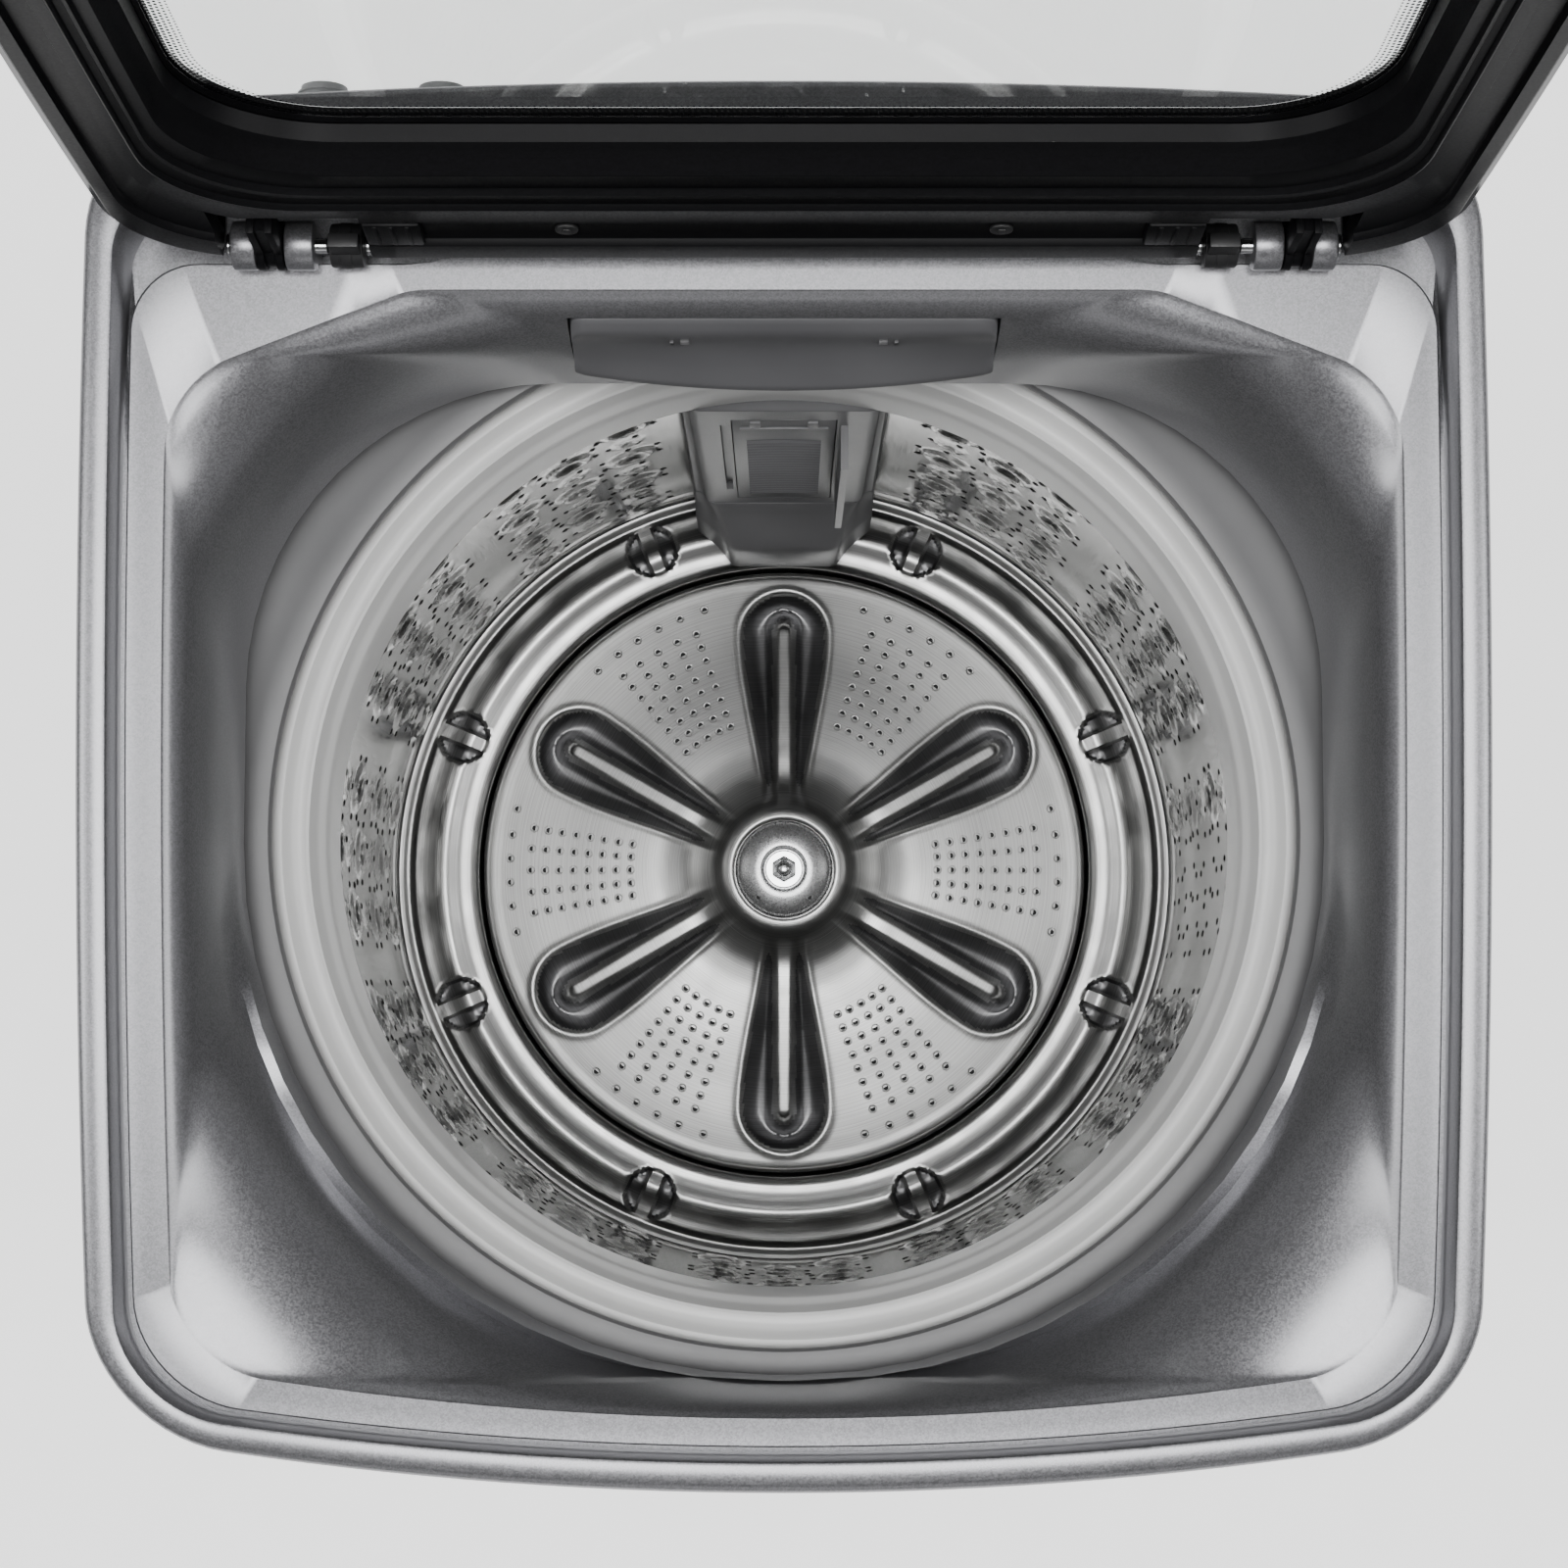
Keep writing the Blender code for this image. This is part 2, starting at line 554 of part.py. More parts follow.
# ---------------------------------------------------------------- detergent drawer
def make_drawer():
    rear = DRAWER_FACE_REAR + GAP + DRAWER_LENGTH
    half = DRAWER_HALF_WIDTH - 0.002
    low, high = DRAWER_BOTTOM - 0.001, DRAWER_TOP - 0.006
    wall = DRAWER_WALL
    stations = 8
    face = DRAWER_FACE_REAR - 0.0045       # the face at its top edge
    sections = []
    for i in range(stations + 1):
        x = DRAWER_HALF_WIDTH * (2 * i / stations - 1)
        bow = 0.008 * (x / DRAWER_HALF_WIDTH) ** 2
        sections.append([
            (x, face, DRAWER_TOP), (x, face - 0.0065 + bow * 0.3, DRAWER_TOP - 0.018),
            (x, face - 0.0225 + bow, DRAWER_BOTTOM + 0.004),
            (x, face - 0.0210 + bow, DRAWER_BOTTOM),
            (x, DRAWER_FACE_REAR, DRAWER_BOTTOM), (x, DRAWER_FACE_REAR, DRAWER_TOP)])
    front = loft("drawer_front", "drawer_grey", sections)
    tray = box("drawer_tray", "housing_grey", (-half, DRAWER_FACE_REAR + GAP, low),
               (half, rear, high))
    for start, end in ((-half + wall, 0.012), (0.012 + wall, half - wall)):
        cut(tray, box("compartment", "housing_grey",
                      (start, DRAWER_FACE_REAR + wall, low + wall),
                      (end, rear - wall, high + 0.01)))
    runner = pivot("drawer_slide", (0.0, DRAWER_FACE_REAR, (low + high) / 2))
    mount(front, runner)
    mount(tray, runner)
    fit = DRAWER_FIT
    housing = box("dispenser_housing", "housing_grey",
                  (-half - fit - wall, DRAWER_FACE_REAR + 0.003, low - fit - wall),
                  (half + fit + wall, rear + fit + wall, high + 2 * fit + wall))
    cut(housing, box("drawer_space", "housing_grey",
                     (-half - fit, DRAWER_FACE_REAR - 0.01, low - fit),
                     (half + fit, rear + fit, high + 2 * fit)))


# ---------------------------------------------------------------- tub and drive
def rod_places():
    return [(side * ROD_REACH, DRUM_Y + end * ROD_REACH) for end in (-1, 1) for side in (-1, 1)]


def make_tub(parent):
    rim = TUB_OUTER + 0.006
    bore = SEAL_SEAT + 0.0007
    tub = turned("outer_tub", "tub_plastic", [
        (bore, TUB_BOTTOM), (TUB_OUTER - 0.008, TUB_BOTTOM), (TUB_OUTER, TUB_FLOOR),
        (TUB_OUTER, TUB_TOP - 0.010), (rim, TUB_TOP - 0.010), (rim, TUB_TOP),
        (TUB_RADIUS, TUB_TOP), (TUB_RADIUS, TUB_FLOOR + 0.006),
        (TUB_RADIUS - 0.006, TUB_FLOOR), (bore, TUB_FLOOR)], LARGE_STEPS, (0, DRUM_Y, 0))
    for x, y in rod_places():
        inward = Vector((-x, DRUM_Y - y, 0)).normalized()
        middle = Vector((x, y, LUG_TOP - LUG_THICKNESS / 2)) + inward * 0.007
        lug = box("lug", "tub_plastic", (-0.024, -0.018, -LUG_THICKNESS / 2),
                  (0.024, 0.018, LUG_THICKNESS / 2))
        turn = Vector((1, 0, 0)).rotation_difference(inward).to_matrix().to_4x4()
        lug.data.transform(Matrix.Translation(middle) @ turn)
        cut(lug, rod("lug_hole", "tub_plastic", (x, y, LUG_TOP - 0.02), (x, y, LUG_TOP + 0.02),
                     ROD_RADIUS + 0.002))
        join(tub, lug)
    mount(tub, parent)
    bottom = TUB_TOP + GAP
    mount(turned("tub_cover", "tub_plastic", [
        (TUB_MOUTH, bottom + 0.004), (TUB_MOUTH, bottom + 0.010), (TUB_MOUTH + 0.006, bottom + 0.012),
        (rim, bottom + 0.010), (rim, bottom), (TUB_RADIUS - 0.004, bottom),
        (TUB_RADIUS - 0.006, bottom + 0.004)], LARGE_STEPS, (0, DRUM_Y, 0)), parent)


def make_drive(tub, basket, agitator):
    """Bearings, direct-drive motor and clutch under the tub, on the drum's axis."""
    centre = (0, DRUM_Y, 0)
    bore = SPIN_TUBE_RADIUS + RUNNING_FIT
    flange = TUB_BOTTOM - GAP
    foot = HOUSING_FOOT
    seat, small_seat = SEAL_SEAT, SPIN_TUBE_RADIUS + 0.0108
    waist = SPIN_TUBE_RADIUS + 0.0085
    mount(turned("bearing_housing", "cast_aluminium", [
        (seat, flange), (0.110, flange), (0.110, flange - 0.008), (0.050, flange - 0.012),
        (0.040, foot + 0.068), (0.036, foot), (small_seat, foot), (small_seat, foot + 0.0178),
        (waist, foot + 0.0178), (waist, foot + 0.0767), (seat, foot + 0.0767)], STEPS, centre),
        tub)
    for name, outer, low, high in (("upper_bearing", seat, foot + 0.0780, foot + 0.0942),
                                   ("lower_bearing", small_seat, foot + 0.0030, foot + 0.0172)):
        mount(turned(name, "bright_steel", [
            (bore, low), (outer - GAP, low), (outer - GAP, high), (bore, high)], STEPS, centre),
            tub)
    mount(turned("water_seal", "rubber", [
        (bore, foot + 0.0950), (seat - GAP, foot + 0.0950), (seat - GAP, TUB_FLOOR - 0.001),
        (waist, TUB_FLOOR), (bore, TUB_FLOOR - 0.003)], STEPS, centre), tub)
    core = ROTOR_RADIUS - 0.0105 - AIR_GAP
    mount(turned("motor_stator", "winding", [
        (waist, foot - GAP), (0.060, foot - GAP), (core, foot - 0.017), (core, foot - 0.057),
        (0.062, foot - 0.057), (0.058, foot - 0.014), (waist, foot - 0.014)], STEPS, centre),
        tub)
    mount(box("clutch_motor", "base_plastic", (0.066, DRUM_Y - 0.020, flange - 0.0597),
              (0.106, DRUM_Y + 0.020, flange - 0.0125), bevel=0.002), tub)

    inside = SHAFT_RADIUS + SHAFT_CLEARANCE
    tube_top = DRUM_FLOOR - 0.003
    mount(turned("spin_tube", "bright_steel", [
        (inside, foot - 0.047), (SPIN_TUBE_RADIUS, foot - 0.047), (SPIN_TUBE_RADIUS, tube_top),
        (inside, tube_top)], STEPS, centre), basket)
    collar, body = SPIN_TUBE_RADIUS + 0.0080, SPIN_TUBE_RADIUS + 0.0060
    sleeve = turned("clutch_sleeve", "bright_steel", [
        (bore, foot - 0.050), (collar, foot - 0.050), (collar, foot - 0.040),
        (body, foot - 0.038), (body, foot - 0.022), (bore, foot - 0.022)], STEPS, centre)
    mount(sleeve, pivot("clutch_slide", (0, DRUM_Y, foot - 0.036)))

    hole = SHAFT_RADIUS + RUNNING_FIT
    inner = ROTOR_RADIUS - 0.0105
    mount(turned("motor_rotor", "zinc_steel", [
        (hole, foot - 0.072), (ROTOR_RADIUS - 0.004, foot - 0.072), (ROTOR_RADIUS, foot - 0.068),
        (ROTOR_RADIUS, foot - 0.014), (inner, foot - 0.014), (inner, foot - 0.065),
        (0.022, foot - 0.065), (0.022, foot - 0.058), (hole, foot - 0.058)], STEPS, centre),
        agitator)
    plate = WASH_PLATE_HEIGHT
    mount(turned("drive_shaft", "bright_steel", [
        (0, foot - 0.082), (0.007, foot - 0.082), (SHAFT_RADIUS, foot - 0.080),
        (SHAFT_RADIUS, plate - 0.020), (0.0075, plate - 0.0195), (0.0075, plate - 0.0015),
        (0, plate - 0.0015)], SMALL_STEPS, centre), agitator)


def make_drain_pump(tub):
    """Pump bolted under the tub, its spout to the left."""
    x, y = -0.150, DRUM_Y - 0.120
    top = TUB_BOTTOM - GAP
    bottom = top - 0.0667
    chamber = top - 0.0337
    outlet = top - 0.0497
    pump = turned("drain_pump", "housing_grey", [
        (0, bottom), (0.034, bottom), (0.036, bottom + 0.003), (0.036, top), (0.032, top),
        (0.032, chamber), (0, chamber)], STEPS, (x, y, 0))
    join(pump, rod("spout", "housing_grey", (x - 0.033, y, outlet), (x - 0.075, y, outlet),
                   0.011, SMALL_STEPS))
    mount(pump, tub)
    low, high = chamber + 0.0005, top - 0.0097
    impeller = turned("pump_impeller", "base_plastic", [
        (0, low), (0.008, low), (0.008, high), (0, high)], SMALL_STEPS, (x, y, 0))
    for turn in (0, 90):
        blade = box("blade", "base_plastic", (-0.026, -0.0015, low + 0.0015),
                    (0.026, 0.0015, high - 0.002))
        blade.data.transform(Matrix.Translation((x, y, 0))
                             @ Matrix.Rotation(math.radians(turn), 4, "Z"))
        join(impeller, blade)
    mount(impeller, pivot("pump_axis", (x, y, low + 0.0015)))


def make_suspension():
    names = ("front_left", "front_right", "rear_left", "rear_right")
    for (x, y), word in zip(rod_places(), names):
        cap = SPRING_BOTTOM - GAP
        head = BRACKET_HEIGHT + 0.003 + GAP
        turned("suspension_rod_" + word, "zinc_steel", [
            (0, cap - 0.010), (0.016, cap - 0.010), (0.017, cap - 0.002), (0.017, cap),
            (ROD_RADIUS, cap), (ROD_RADIUS, head), (0.010, head), (0.010, head + 0.010),
            (0, head + 0.014)], SMALL_STEPS, (x, y, 0))
        make_spring("suspension_spring_" + word, x, y)


def make_spring(name, x, y):
    """Helical spring between the rod's cap and the tub's lug."""
    sides, per_turn = 4, 8
    low = SPRING_BOTTOM + SPRING_WIRE
    high = LUG_TOP - LUG_THICKNESS - GAP - SPRING_WIRE
    count = SPRING_TURNS * per_turn
    loops = []
    for i in range(count + 1):
        angle = 2 * math.pi * i / per_turn
        outward = Vector((math.cos(angle), math.sin(angle), 0))
        middle = Vector((x, y, low + (high - low) * i / count)) + outward * SPRING_RADIUS
        loop = []
        for k in range(sides):
            around = 2 * math.pi * k / sides
            loop.append(middle + outward * SPRING_WIRE * math.cos(around)
                        + Vector((0, 0, SPRING_WIRE * math.sin(around))))
        loops.append(loop)
    loft(name, "spring_steel", loops)


# ---------------------------------------------------------------- drum
def make_basket(parent):
    centre = (0, DRUM_Y, 0)
    lip = WASH_PLATE_RADIUS + WASH_PLATE_CLEARANCE
    mount(turned("drum_shell", "drum_steel", [
        (DRUM_RADIUS, BASE_TOP + 0.0004), (DRUM_RADIUS + SHEET, BASE_TOP + 0.0004),
        (DRUM_RADIUS + SHEET, BALANCE_BOTTOM + 0.008), (DRUM_RADIUS, BALANCE_BOTTOM + 0.008)],
        LARGE_STEPS, centre), parent)
    edge = DRUM_RADIUS - 0.0005
    roll = DRUM_RADIUS - 0.029             # top of the base ring's roll
    mount(turned("drum_base", "plate_steel", [
        (0.030, DRUM_FLOOR), (lip - 0.002, DRUM_FLOOR), (lip, DRUM_FLOOR + 0.003),
        (lip, BASE_TOP - 0.002), (lip + 0.0015, BASE_TOP - 0.0005), (roll, BASE_TOP + 0.004),
        (edge - 0.0115, BASE_TOP), (edge, BASE_TOP), (edge, BASE_TOP - 0.008),
        (roll, BASE_TOP - 0.003), (lip + 0.0025, BASE_TOP - 0.008),
        (lip + 0.0025, DRUM_FLOOR), (lip, DRUM_FLOOR - 0.0025), (0.030, DRUM_FLOOR - 0.0025)],
        LARGE_STEPS, centre), parent)
    seat = DRUM_RADIUS + SHEET + 0.002
    low = BALANCE_BOTTOM
    mount(turned("balance_ring", "balance_plastic", [
        (BALANCE_MOUTH, low), (DRUM_RADIUS - 0.0015, low), (DRUM_RADIUS - 0.0015, low + 0.0083),
        (BALANCE_OUTER, low + 0.0083), (BALANCE_OUTER, BALANCE_TOP - 0.004),
        (seat, BALANCE_TOP), (BALANCE_MOUTH + 0.017, BALANCE_TOP),
        (BALANCE_MOUTH + 0.013, BALANCE_TOP - 0.007), (BALANCE_MOUTH + 0.007, BALANCE_TOP - 0.008),
        (BALANCE_MOUTH + 0.004, BALANCE_TOP - 0.020),
        (BALANCE_MOUTH, BALANCE_TOP - 0.045)], LARGE_STEPS, centre), parent)

    top = DRUM_FLOOR - 0.0025 - GAP
    flange = turned("hub_flange", "cast_aluminium", [
        (SPIN_TUBE_RADIUS + GAP, top), (0.085, top), (0.085, top - 0.008),
        (0.030, top - 0.016), (SPIN_TUBE_RADIUS + GAP, top - 0.016)], STEPS, centre)
    for turn in (90, 210, 330):
        arm = box("arm", "cast_aluminium", (0.070, -0.016, top - 0.009),
                  (lip - 0.0055, 0.016, top - 0.0004))
        arm.data.transform(Matrix.Translation(centre)
                           @ Matrix.Rotation(math.radians(turn), 4, "Z"))
        join(flange, arm)
    mount(flange, parent)
    make_filter_column(parent)


def column_section(height, face, face_half, chamfer):
    """Plan section of the column: a flat face, chamfered sides and a back on the drum wall."""
    back = DRUM_RADIUS * math.cos(math.pi / LARGE_STEPS) - GAP
    half = COLUMN_HALF_WIDTH
    steps = 6
    points = [(-face_half, face), (face_half, face), (half - 0.002, face + chamfer)]
    for i in range(steps + 1):
        x = half * (1 - 2 * i / steps)
        points.append((x, math.sqrt(back ** 2 - x ** 2)))
    points.append((-half + 0.002, face + chamfer))
    return [(x, DRUM_Y + y, height) for x, y in points]


def make_filter_column(parent):
    foot = BASE_TOP + 0.0072
    column = loft("filter_column", "column_grey", [
        column_section(foot, FOOT_FACE, 0.033, 0.022),
        column_section(foot + 0.058, FOOT_FACE + 0.003, 0.033, 0.021),
        column_section(FILTER_BOTTOM - 0.0105, COLUMN_FACE, 0.046, 0.007),
        column_section(COLUMN_TOP, COLUMN_FACE, 0.048, 0.007)])
    face = DRUM_Y + COLUMN_FACE
    fit = FILTER_FIT
    cut(column, box("filter_space", "column_grey",
                    (-FILTER_HALF_WIDTH - fit, face - 0.02, FILTER_BOTTOM - 2 * fit),
                    (FILTER_HALF_WIDTH + fit, face + FILTER_CAVITY, FILTER_TOP + fit)))
    mount(column, parent)
    cover = box("filter_cover", "column_grey",
                (-FILTER_HALF_WIDTH, face, FILTER_BOTTOM),
                (FILTER_HALF_WIDTH, face + FILTER_PLATE, FILTER_TOP), bevel=0.0008)
    hinge = pivot("filter_hinge", (0, face + FILTER_PLATE / 2, FILTER_BOTTOM + 0.0015))
    mount(cover, hinge)


def raised(profile):
    """Profile with its heights counted from the wash plate's."""
    return [(radius, WASH_PLATE_HEIGHT + rise) for radius, rise in profile]


def make_wash_plate(parent):
    centre = (0, DRUM_Y, 0)
    edge = WASH_PLATE_RADIUS
    hole = SHAFT_RADIUS + RUNNING_FIT
    outer, inner = edge * 0.76, edge * 0.456
    mount(turned("wash_plate", "plate_steel", raised([
        (hole, -0.020), (0.025, -0.020), (0.028, 0.0), (0.040, 0.0), (inner, 0.005),
        (outer, -0.001), (edge - 0.004, -0.0045), (edge - 0.003, -0.011), (edge, -0.011),
        (edge, -0.003), (edge - 0.002, -0.001), (outer, 0.002), (inner, 0.008), (0.050, 0.0165),
        (0.036, 0.024), (0.0345, 0.0245), (0.0325, 0.0235), (0.0325, 0.005), (hole, 0.005)]),
        LARGE_STEPS, centre), parent)
    mount(turned("wash_plate_cap", "hub_grey", raised([
        (0.0062, 0.005 + GAP), (0.0315, 0.005 + GAP), (0.0315, 0.0225), (0.029, 0.0262),
        (0.016, 0.0285), (0.014, 0.0275), (0.014, 0.0155), (0.0062, 0.0155)]), STEPS, centre),
        parent)
    mount(turned("wash_plate_bolt", "bright_steel", raised([
        (0, -0.0010), (0.0055, -0.0010), (0.0055, 0.0158), (0.0085, 0.0158), (0.0085, 0.0225),
        (0, 0.0225)]), 6, centre), parent)


# ---------------------------------------------------------------- lid
def lid_outline(inset):
    """The lid's plan when closed, measured from the hinge axis."""
    edge = RIM_WIDTH + LID_GAP + inset
    points = outline(HALF_W - edge, -HALF_D + edge - 0.0015,
                     HINGE_Y + LID_BEHIND_AXIS - inset, CORNER_RADIUS - edge + 0.003,
                     0.060 - inset, rear_bow=0.0)
    return [(x, y - HINGE_Y) for x, y in points]


def window_outline(grow):
    edge = RIM_WIDTH + LID_GAP
    rear = HINGE_Y + LID_BEHIND_AXIS - WINDOW_REAR + grow
    points = outline(HALF_W - edge - WINDOW_SIDE + grow, -HALF_D + edge + WINDOW_FRONT - grow,
                     rear, 0.050 + grow, 0.060 + grow, rear_bow=0.0)
    return [(x, y - HINGE_Y) for x, y in points]


def make_lid(parent):
    top, skirt, face = LID_TOP, -LID_SKIRT, -LID_INNER_FACE
    plate = top - LID_PLATE
    wall = 0.0035
    lid = [
        loft("lid_frame", "lid_black", [
            flat(lid_outline(0), skirt), flat(lid_outline(0), top - 0.005),
            flat(lid_outline(0.005), top), flat(window_outline(0), top),
            flat(window_outline(0), plate), flat(lid_outline(wall), plate),
            flat(lid_outline(wall), skirt)], ring=True),
        loft("lid_inner_frame", "lid_black", [
            flat(lid_outline(wall + 0.0025), face), flat(lid_outline(wall + 0.0007), face + 0.002),
            flat(lid_outline(wall + 0.0007), 0.005), flat(window_outline(0.018), 0.005),
            flat(window_outline(0.014), plate - GLASS_THICKNESS - 2 * GAP),
            flat(window_outline(0.004), plate - GLASS_THICKNESS - 2 * GAP),
            flat(window_outline(0.011), face + 0.004), flat(window_outline(0.018), face)],
            ring=True)]
    frame, inner = lid
    for side in (-1, 1):
        low, high = sorted((side * NOTCH_SPAN[0], side * NOTCH_SPAN[1]))
        for piece in lid:
            cut(piece, box("notch", "lid_black", (low, -0.017, -0.014), (high, 0.006, 0.0140)))
        low, high = sorted((side * LID_KNUCKLE[0], side * LID_KNUCKLE[1]))
        barrel = rod("barrel", "lid_black", (low, 0, 0), (high, 0, 0), KNUCKLE_RADIUS)
        join(barrel, box("strap", "lid_black", (low, -0.030, -0.0075), (high, -0.002, 0.0045)))
        join(inner, barrel)
    cut(inner, rod("pin_hole", "lid_black", (-0.26, 0, 0), (0.26, 0, 0), PIN_RADIUS + PIN_FIT))
    glass = loft("lid_glass", "lid_glass", [
        flat(window_outline(GLASS_LAP), plate - GLASS_THICKNESS - GAP),
        flat(window_outline(GLASS_LAP), plate - GAP)])
    lid.append(glass)
    for side, word in ((-1, "left"), (1, "right")):
        lid.append(rod("hinge_pin_" + word, "bright_steel", (side * 0.2045, 0, 0),
                       (side * (COVER_KNUCKLES[1][1] + 0.0015), 0, 0), PIN_RADIUS))
        low, high = DAMPER_SPAN
        damper = turned("lid_damper_" + word, "base_plastic", [
            (0, low), (0.004, low), (0.004, low + 0.0035), (0.0098, low + 0.0035),
            (0.0098, high), (0, high)], SMALL_STEPS, along_x=True)
        if side < 0:
            damper.data.transform(Matrix.Rotation(math.pi, 4, "Z"))
        lid.append(damper)
    lid += make_controls(parent)
    for piece in lid:
        piece.parent = parent


def make_controls(parent):
    """Control strip on the outer face of the lid's front band, in the lid's own frame."""
    front = -HALF_D + RIM_WIDTH + LID_GAP - HINGE_Y
    low_y, high_y = (front + distance for distance in PANEL_FROM_FRONT)
    bottom = LID_TOP + GAP
    top = bottom + PANEL_THICKNESS
    panel = box("control_panel", "display_black", (-PANEL_HALF_WIDTH, low_y, bottom),
                (PANEL_HALF_WIDTH, high_y, top))
    middle = (low_y + high_y) / 2
    half_x, half_y = DISPLAY_HALF_SIZE
    cut(panel, box("display_hole", "display_black",
                   (-half_x - GAP, middle - half_y - GAP, bottom - 0.01),
                   (half_x + GAP, middle + half_y + GAP, top + 0.01)))
    display = box("display_window", "display_black", (-half_x, middle - half_y, bottom),
                  (half_x, middle + half_y, top + 0.0003))
    half_x, half_y = BUTTON_HALF_SIZE
    fit = BUTTON_FIT
    for name, x in BUTTON_PLACES.items():
        cut(panel, box("button_hole", "display_black",
                       (x - half_x - fit, middle - half_y - fit, bottom - 0.01),
                       (x + half_x + fit, middle + half_y + fit, top + 0.01)))
        floor = bottom + BUTTON_TRAVEL + 0.0002
        button = box(name, "button_grey", (x - half_x, middle - half_y, floor),
                     (x + half_x, middle + half_y, top + BUTTON_RISE), bevel=0.0009)
        place = Vector((x, middle, floor))
        button.data.transform(Matrix.Translation(-place))
        button.parent = parent
        guide = bpy.data.objects.new(name + "_axis", None)
        bpy.context.scene.collection.objects.link(guide)
        guide.parent = parent
        guide.location = place
        button.parent = guide
    return [panel, display]


# ---------------------------------------------------------------- joints' axes and assembly
def pivot(name, place):
    """Empty on a joint's axis; the pieces that move there are its children."""
    made = bpy.data.objects.new(name, None)
    made.empty_display_size = 0.03
    made.location = place
    bpy.context.scene.collection.objects.link(made)
    return made


def mount(piece, holder):
    """Gives a piece its holder's origin, with its shape where it was."""
    piece.data.transform(Matrix.Translation(-holder.location))
    piece.parent = holder


def centre_on_floor():
    """Moves the whole machine so that the middle of its box is over the origin."""
    bpy.context.view_layer.update()
    meshes = [obj for obj in bpy.data.objects if obj.type == "MESH"]
    depths = [(obj.matrix_world @ vertex.co).y for obj in meshes for vertex in obj.data.vertices]
    machine = pivot("machine", (0, 0, 0))
    for obj in list(bpy.data.objects):
        if obj.parent is None and obj != machine:
            obj.parent = machine
    machine.location.y = -(min(depths) + max(depths)) / 2


def main():
    for obj in list(bpy.data.objects):
        bpy.data.objects.remove(obj)
    make_cabinet()
    make_feet()
    make_top_cover()
    make_services()
    make_drawer()
    tub = pivot("tub_axis", (0, DRUM_Y, TUB_BOTTOM))
    basket = pivot("drum_axis", (0, DRUM_Y, DRUM_FLOOR))
    agitator = pivot("wash_plate_axis", (0, DRUM_Y, WASH_PLATE_HEIGHT))
    make_tub(tub)
    make_drive(tub, basket, agitator)
    make_drain_pump(tub)
    make_suspension()
    make_basket(basket)
    make_wash_plate(agitator)
    lid = pivot("lid_hinge", (0, HINGE_Y, rim_height(HINGE_Y, HINGE_DEPTH)))
    make_lid(lid)
    lid.rotation_euler.x = RIM_SLOPE - OPEN_ANGLE
    centre_on_floor()


main()
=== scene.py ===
"""Looks of the top-loading washing machine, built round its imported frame.

Metres, +Z up, front towards -Y. Most pieces are worked out about the middle of the top cover
and moved back by SHIFT; lid pieces are worked out about the hinge axis with the lid closed.
"""

import json
import math

import bmesh
import bpy
from mathutils import Matrix, Vector


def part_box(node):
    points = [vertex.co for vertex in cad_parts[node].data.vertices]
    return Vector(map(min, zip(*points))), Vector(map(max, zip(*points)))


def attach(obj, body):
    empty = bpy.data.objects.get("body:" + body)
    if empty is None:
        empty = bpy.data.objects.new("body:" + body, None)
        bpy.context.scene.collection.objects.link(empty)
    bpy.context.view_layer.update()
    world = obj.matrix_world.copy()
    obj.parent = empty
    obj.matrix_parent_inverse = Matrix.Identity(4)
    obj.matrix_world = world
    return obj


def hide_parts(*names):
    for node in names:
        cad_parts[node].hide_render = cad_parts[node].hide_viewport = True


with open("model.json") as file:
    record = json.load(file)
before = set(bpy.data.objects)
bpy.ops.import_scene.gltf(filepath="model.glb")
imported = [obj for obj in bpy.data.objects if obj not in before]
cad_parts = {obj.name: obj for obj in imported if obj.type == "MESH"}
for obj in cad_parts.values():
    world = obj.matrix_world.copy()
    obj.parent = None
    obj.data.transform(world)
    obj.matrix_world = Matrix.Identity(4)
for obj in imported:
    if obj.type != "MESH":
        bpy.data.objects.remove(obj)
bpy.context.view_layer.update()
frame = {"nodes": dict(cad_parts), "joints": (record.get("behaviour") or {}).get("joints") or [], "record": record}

JOINTS = {joint["name"]: joint for joint in frame["joints"]}
LID_AXIS = Vector(JOINTS["lid_hinge"]["pos_m"])
COVER_LOW, COVER_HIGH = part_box("top_cover")

# ---- Sizes of the frame that the looks follow ----
DRUM_BACK = 0.0126          # drum's axis in front of the cover's middle
DRUM_AXIS_Y = JOINTS["drum_spin"]["pos_m"][1]
SHIFT = DRUM_AXIS_Y + DRUM_BACK
WIDTH = COVER_HIGH.x - COVER_LOW.x
HALF_W = WIDTH / 2
HALF_D = 0.315
DRUM_Y = -DRUM_BACK
RIM_HEIGHT = 1.000
RIM_SLOPE = math.radians(4.2)
OPEN_ANGLE = math.radians(100.7)
FRONT_BOW = 0.090
REAR_BOW = 0.035
SIDE_BOW = 0.020
CORNER_RADIUS = 0.062
COVER_WALL = 0.003
SKIRT_BOTTOM = 0.920
RIM_WIDTH = 0.015
WELL_REAR = HALF_D - 0.051
HINGE_Y = WELL_REAR - 0.022
HINGE_DEPTH = 0.015
LEDGE_DEPTH = 0.025
GROOVE_WIDTH = 0.0022
GROOVE_DEPTH = 0.028
TROUGH_DEPTH = 0.036
TROUGH_WIDTH = 0.027
LEDGE_STEP = 0.007          # the ledge reaches further back between the hinges
LEDGE_STEP_X = 0.158
OPENING_SIDE = 0.034
OPENING_FRONT = 0.0305
OPENING_REAR = 0.090
BOWL_BOTTOM = 0.880
BOWL_RADIUS = 0.262
BOWL_REAR_RADIUS = 0.150
BOWL_REAR_Y = HALF_D - OPENING_REAR - 0.019
DRUM_RADIUS = 0.252
BASE_TOP = 0.4048
DRUM_FLOOR = 0.3672
BALANCE_BOTTOM = 0.787
BALANCE_TOP = 0.850
PLATE_EDGE = 0.1972
